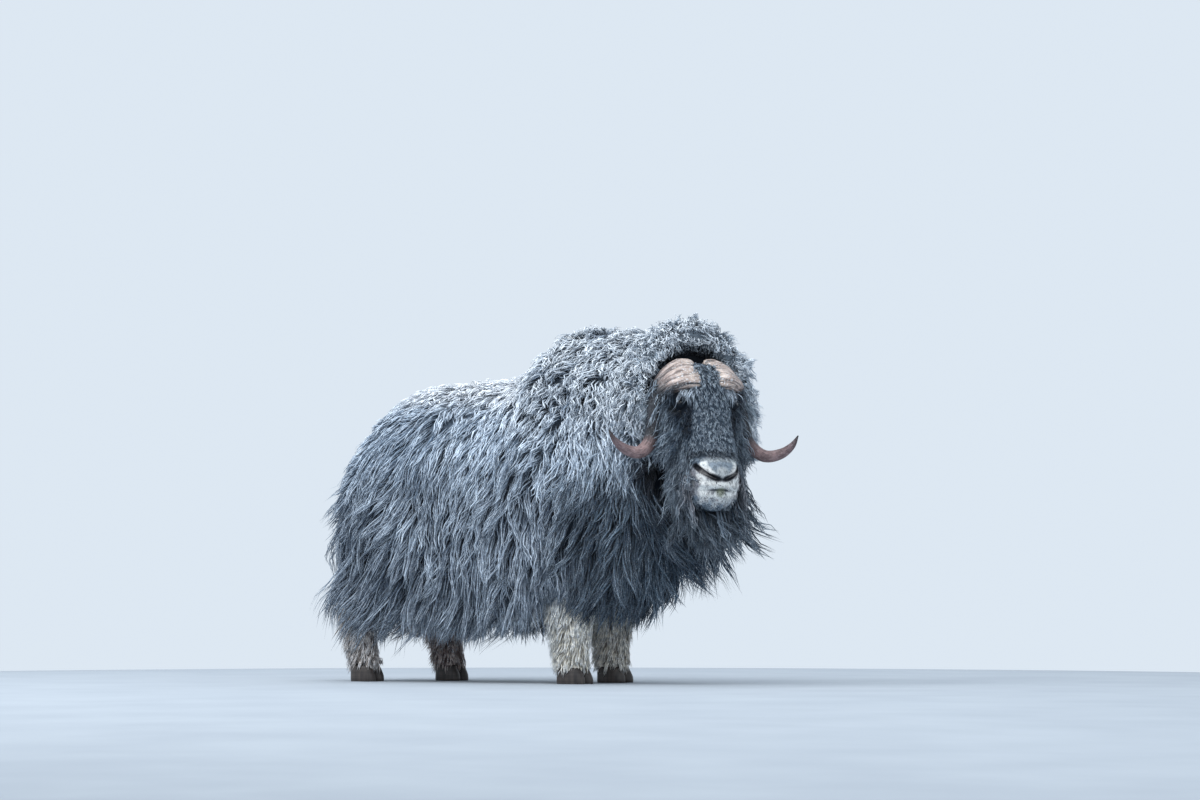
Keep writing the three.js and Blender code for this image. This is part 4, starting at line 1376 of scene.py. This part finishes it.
class Nodes:
    """A small help to write node materials."""

    def __init__(self, name):
        self.material = bpy.data.materials.new(name)
        self.material.use_nodes = True
        self.tree = self.material.node_tree
        self.shader = self.tree.nodes["Principled BSDF"]

    def new(self, kind, **settings):
        node = self.tree.nodes.new(kind)
        for key, value in settings.items():
            setattr(node, key, value)
        return node

    def link(self, source, target):
        self.tree.links.new(source, target)

    def attribute(self, name, output="Vector"):
        return self.new("ShaderNodeAttribute", attribute_name=name).outputs[output]

    def noise(self, scale, vector=None, detail=4.0, stretch=None):
        node = self.new("ShaderNodeTexNoise")
        node.inputs["Scale"].default_value = scale
        node.inputs["Detail"].default_value = detail
        source = vector or self.new("ShaderNodeTexCoord").outputs["Object"]
        if stretch:
            mapping = self.new("ShaderNodeMapping")
            mapping.inputs["Scale"].default_value = stretch
            self.link(source, mapping.inputs["Vector"])
            source = mapping.outputs["Vector"]
        self.link(source, node.inputs["Vector"])
        return node.outputs["Fac"]

    def ramp(self, source, *stops):
        node = self.new("ShaderNodeValToRGB")
        elements = node.color_ramp.elements
        while len(elements) < len(stops):
            elements.new(0.5)
        for element, (at, rgb) in zip(elements, stops):
            element.position = at
            element.color = (*rgb, 1)
        self.link(source, node.inputs["Fac"])
        return node.outputs["Color"]

    def blend(self, a, b, share, mode="MIX"):
        node = self.new("ShaderNodeMix", data_type="RGBA", blend_type=mode)
        for socket, value in ((node.inputs[6], a), (node.inputs[7], b)):
            if isinstance(value, bpy.types.NodeSocket):
                self.link(value, socket)
            else:
                socket.default_value = (*value, 1)
        if isinstance(share, bpy.types.NodeSocket):
            self.link(share, node.inputs[0])
        else:
            node.inputs[0].default_value = share
        return node.outputs[2]

    def times(self, a, b):
        return self.blend(a, b, 1.0, "MULTIPLY")

    def bump(self, source, strength, distance):
        node = self.new("ShaderNodeBump")
        node.inputs["Strength"].default_value = strength
        node.inputs["Distance"].default_value = distance
        self.link(source, node.inputs["Height"])
        self.link(node.outputs["Normal"], self.shader.inputs["Normal"])

    def base(self, source):
        self.link(source, self.shader.inputs["Base Color"])

    def set(self, **values):
        for name, value in values.items():
            self.shader.inputs[name.replace("_", " ")].default_value = value


def hair_material():
    """Fibres that run along each strand, with flecks of frost where the coat carries it."""
    m = Nodes("hair")
    fibres = m.noise(1.0, m.attribute("Fibre"), detail=3, stretch=(2.2, 1.0, 1.0))
    streak = m.ramp(fibres, (0.3, (0.58, 0.59, 0.61)), (0.7, (1.3, 1.3, 1.29)))
    clots = m.ramp(m.noise(55, detail=6), (0.36, (0.62, 0.64, 0.68)), (0.64, (1.3, 1.29, 1.27)))
    hair = m.times(m.times(m.attribute("Tint", "Color"), streak), clots)
    flecks = m.ramp(m.noise(200, detail=4), (0.53, (0, 0, 0)), (0.62, (1, 1, 1)))
    amount = m.new("ShaderNodeMath", operation="MULTIPLY")
    m.link(flecks, amount.inputs[0])
    m.link(m.attribute("Tint", "Alpha"), amount.inputs[1])
    m.base(m.blend(hair, FROST, amount.outputs[0]))
    m.bump(fibres, 0.4, 0.002)
    m.set(Roughness=0.8, Sheen_Weight=0.15, Sheen_Roughness=0.5, Specular_IOR_Level=0.25)
    return m.material


def skin_material():
    m = Nodes("skin")
    nap = m.noise(420, detail=5, stretch=(1, 1, 0.3))
    shade = m.ramp(nap, (0.3, (0.6, 0.6, 0.62)), (0.7, (1.2, 1.2, 1.2)))
    m.base(m.times(m.attribute("Tint", "Color"), shade))
    m.bump(nap, 0.6, 0.002)
    m.set(Roughness=0.85, Specular_IOR_Level=0.3)
    return m.material


def horn_material():
    """Fibrous pads of pinkish tan, darker in their cracks and hollows and with frost, a shaft painted near
    black as painted shade where it lies in the gap beside the face, and brown hooks with dark tips.
    """
    m = Nodes("horn")
    fibres = m.noise(1.6, m.attribute("Fibre"), detail=7, stretch=(2.4, 0.7, 1.0))
    # From 0.25 to 0.52 of the way the shaft is painted near black: painted shade where it lies in the gap
    # beside the face.
    tone = m.ramp(
        m.attribute("Share", "Fac"),
        (0.0, colour(190, 176, 164)),
        (0.18, colour(166, 150, 142)),
        (0.25, colour(46, 50, 56)),
        (0.52, colour(30, 34, 42)),
        (0.6, colour(128, 106, 104)),
        (0.7, colour(150, 126, 124)),
        (0.85, colour(118, 98, 100)),
        (1.0, colour(30, 32, 38)),
    )
    streak = m.ramp(
        fibres, (0.34, (0.26, 0.25, 0.26)), (0.48, (0.86, 0.84, 0.84)), (0.7, (1.4, 1.41, 1.43))
    )
    fibrous = m.times(tone, streak)
    patch = m.ramp(m.noise(38, detail=5), (0.42, (0.72, 0.7, 0.72)), (0.62, (1.15, 1.16, 1.18)))
    # The pad is darker in its cracks and in the low places between its ridges.
    darker_in_hollows = m.blend(m.times(fibrous, patch), colour(34, 40, 48), m.attribute("Crack", "Fac"))
    flecks = m.ramp(m.noise(170, detail=4), (0.56, (0, 0, 0)), (0.66, (1, 1, 1)))
    pad = m.ramp(m.attribute("Share", "Fac"), (0.1, (0.75, 0.75, 0.75)), (0.24, (0.12, 0.12, 0.12)))
    m.base(m.blend(darker_in_hollows, FROST * 0.9, m.times(flecks, pad)))
    m.bump(fibres, 0.7, 0.004)
    m.set(Roughness=0.65)
    return m.material


def hoof_material():
    m = Nodes("hoof")
    grain = m.noise(60, detail=5, stretch=(1, 1, 0.12))
    bands = m.noise(25, detail=3, stretch=(0.2, 0.2, 6))
    tone = m.ramp(grain, (0.3, colour(34, 30, 30)), (0.7, colour(74, 66, 62)))
    m.base(m.times(tone, m.ramp(bands, (0.35, (0.7, 0.7, 0.7)), (0.65, (1.2, 1.2, 1.2)))))
    m.bump(bands, 0.4, 0.002)
    m.set(Roughness=0.5)
    return m.material


def eye_material():
    m = Nodes("eye")
    rays = m.noise(900, detail=2)
    iris = m.ramp(
        m.attribute("Facing", "Fac"),
        (0.0, colour(120, 104, 96)),
        (0.72, colour(40, 28, 24)),
        (0.8, colour(24, 16, 13)),
        (0.93, colour(6, 5, 5)),
    )
    m.base(m.times(iris, m.ramp(rays, (0.3, (0.7, 0.7, 0.7)), (0.7, (1.2, 1.2, 1.2)))))
    m.set(Roughness=0.06, Coat_Weight=0.6, Coat_Roughness=0.03)
    return m.material


# The scene.


def dress_skin(obj, material):
    mesh = obj.data
    p = to_own(places(mesh))
    dark, light, frost = markings(p)
    h = to_head(p)
    bare = ramp(h[:, 0], 150, 190) * fade(h[:, 2], -284, -250) * (h[:, 2] > -484)
    amount = (frost * mix(0.25, 0.9, bare))[:, None]
    # Under the hair the skin is painted at half brightness, as painted shade under the coat; the bare
    # muzzle keeps its full colour.
    rgb = mix(dark, light, amount) * mix(0.5, 1.0, bare)[:, None]
    tint = np.concatenate([rgb, np.zeros((len(p), 1))], 1)
    paint(mesh, "Tint", tint)
    mesh.materials.clear()
    mesh.materials.append(material)
    mesh.polygons.foreach_set("material_index", np.zeros(len(mesh.polygons), np.int32))
    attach(obj, "root")
    flesh = ["head", "neck", "torso", "tail", "ear_left", "ear_right", *("leg_" + name for name in FEET)]
    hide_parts(*flesh)


def stand_in(name, mesh, node):
    obj = add(name, mesh)
    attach(obj, "root")
    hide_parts(node)


def make_floor():
    """A pale mound, level round the animal and falling away slowly, so that its crest is the horizon."""
    radii = np.array([0.5, 1.5, 2.6, 3.2, 4, 5, 6.5, 9, 13, 19, 28, 40, 60])
    drop = -0.010 * np.maximum(0, radii - 2.6) ** 1.5
    sides = 96
    a = around(sides)
    rings = np.stack([radii[:, None] * np.cos(a), radii[:, None] * np.sin(a), drop[:, None] + 0 * a], -1)
    points = np.vstack([rings.reshape(-1, 3), (0, 0, 0)])
    faces = [[sides * len(radii), k, (k + 1) % sides] for k in range(sides)]
    for inner in range(0, sides * (len(radii) - 1), sides):
        for k in range(sides):
            n, outer = (k + 1) % sides, inner + sides
            faces.append([inner + k, outer + k, outer + n, inner + n])
    mesh = bpy.data.meshes.new("floor")
    mesh.from_pydata(points.tolist(), [], faces)
    smooth(mesh)
    m = Nodes("floor")
    m.base(m.ramp(m.noise(2.0, detail=3), (0.3, colour(158, 167, 177)), (0.7, colour(166, 175, 184))))
    m.set(Roughness=0.95)
    mesh.materials.append(m.material)
    add("floor", mesh)


# Each soft light's name, place, power and size.
LIGHTS = [
    ("key", (-3.5, -6.0, 7.0), 430, 5.0),
    ("fill", (6.0, -5.0, 4.0), 110, 6.0),
    ("top", (-0.5, -1.0, 8.0), 420, 8.0),
]
LIT_PLACE = (0, 0, 0.7)


def make_light():
    world = bpy.data.worlds.new("studio")
    bpy.context.scene.world = world
    world.use_nodes = True
    back = world.node_tree.nodes["Background"]
    back.inputs["Color"].default_value = (*colour(226, 237, 248), 1)
    back.inputs["Strength"].default_value = 0.95
    for name, place, energy, size in LIGHTS:
        light = bpy.data.lights.new(name, "AREA")
        light.energy = energy
        light.size = size
        obj = bpy.data.objects.new(name, light)
        obj.location = place
        obj.rotation_euler = (Vector(LIT_PLACE) - Vector(place)).to_track_quat("-Z", "Y").to_euler()
        bpy.context.scene.collection.objects.link(obj)


CAMERA_AZIMUTH = math.radians(30)
CAMERA_AWAY = 20.0
CAMERA_HEIGHT = 0.45
SENSOR_WIDTH, LENS = 36, 150
TARGET_RIGHT, TARGET_Z = 0.032, 1.132


def make_camera():
    data = bpy.data.cameras.new("camera")
    data.sensor_width = SENSOR_WIDTH
    data.lens = LENS
    camera = bpy.data.objects.new("camera", data)
    right = np.array([math.cos(CAMERA_AZIMUTH), math.sin(CAMERA_AZIMUTH), 0])
    back = np.array([math.sin(CAMERA_AZIMUTH), -math.cos(CAMERA_AZIMUTH), 0])
    target = right * TARGET_RIGHT + (0, 0, TARGET_Z) + SHIFT
    place = target + back * CAMERA_AWAY
    place[2] = CAMERA_HEIGHT
    camera.location = place
    camera.rotation_euler = Vector(target - place).to_track_quat("-Z", "Y").to_euler()
    data.clip_end = 200
    bpy.context.scene.collection.objects.link(camera)
    bpy.context.scene.camera = camera
    bpy.context.scene.view_settings.view_transform = "Standard"


make_camera()
make_light()
make_floor()

materials = {
    "hair": hair_material(),
    "skin": skin_material(),
    "horn": horn_material(),
    "hoof": hoof_material(),
    "eye": eye_material(),
}
skin_object, head_surface = make_skin()
skin = Surface(skin_object)
dress_skin(skin_object, materials["skin"])
make_coat(skin, head_surface, materials)
for side, word in ((1, "left"), (-1, "right")):
    stand_in("horn_sheath_" + word, make_horn(side, materials["horn"]), "horn_" + word)
    stand_in("eyeball_" + word, make_eye(side, materials["eye"]), "eye_" + word)
for name, (_, y) in FEET.items():
    for claw_name, side in (("outer", np.sign(y)), ("inner", -np.sign(y))):
        stand_in(
            f"claw_{name}_{claw_name}",
            make_claw(name, side, materials["hoof"]),
            f"hoof_{name}_{claw_name}",
        )
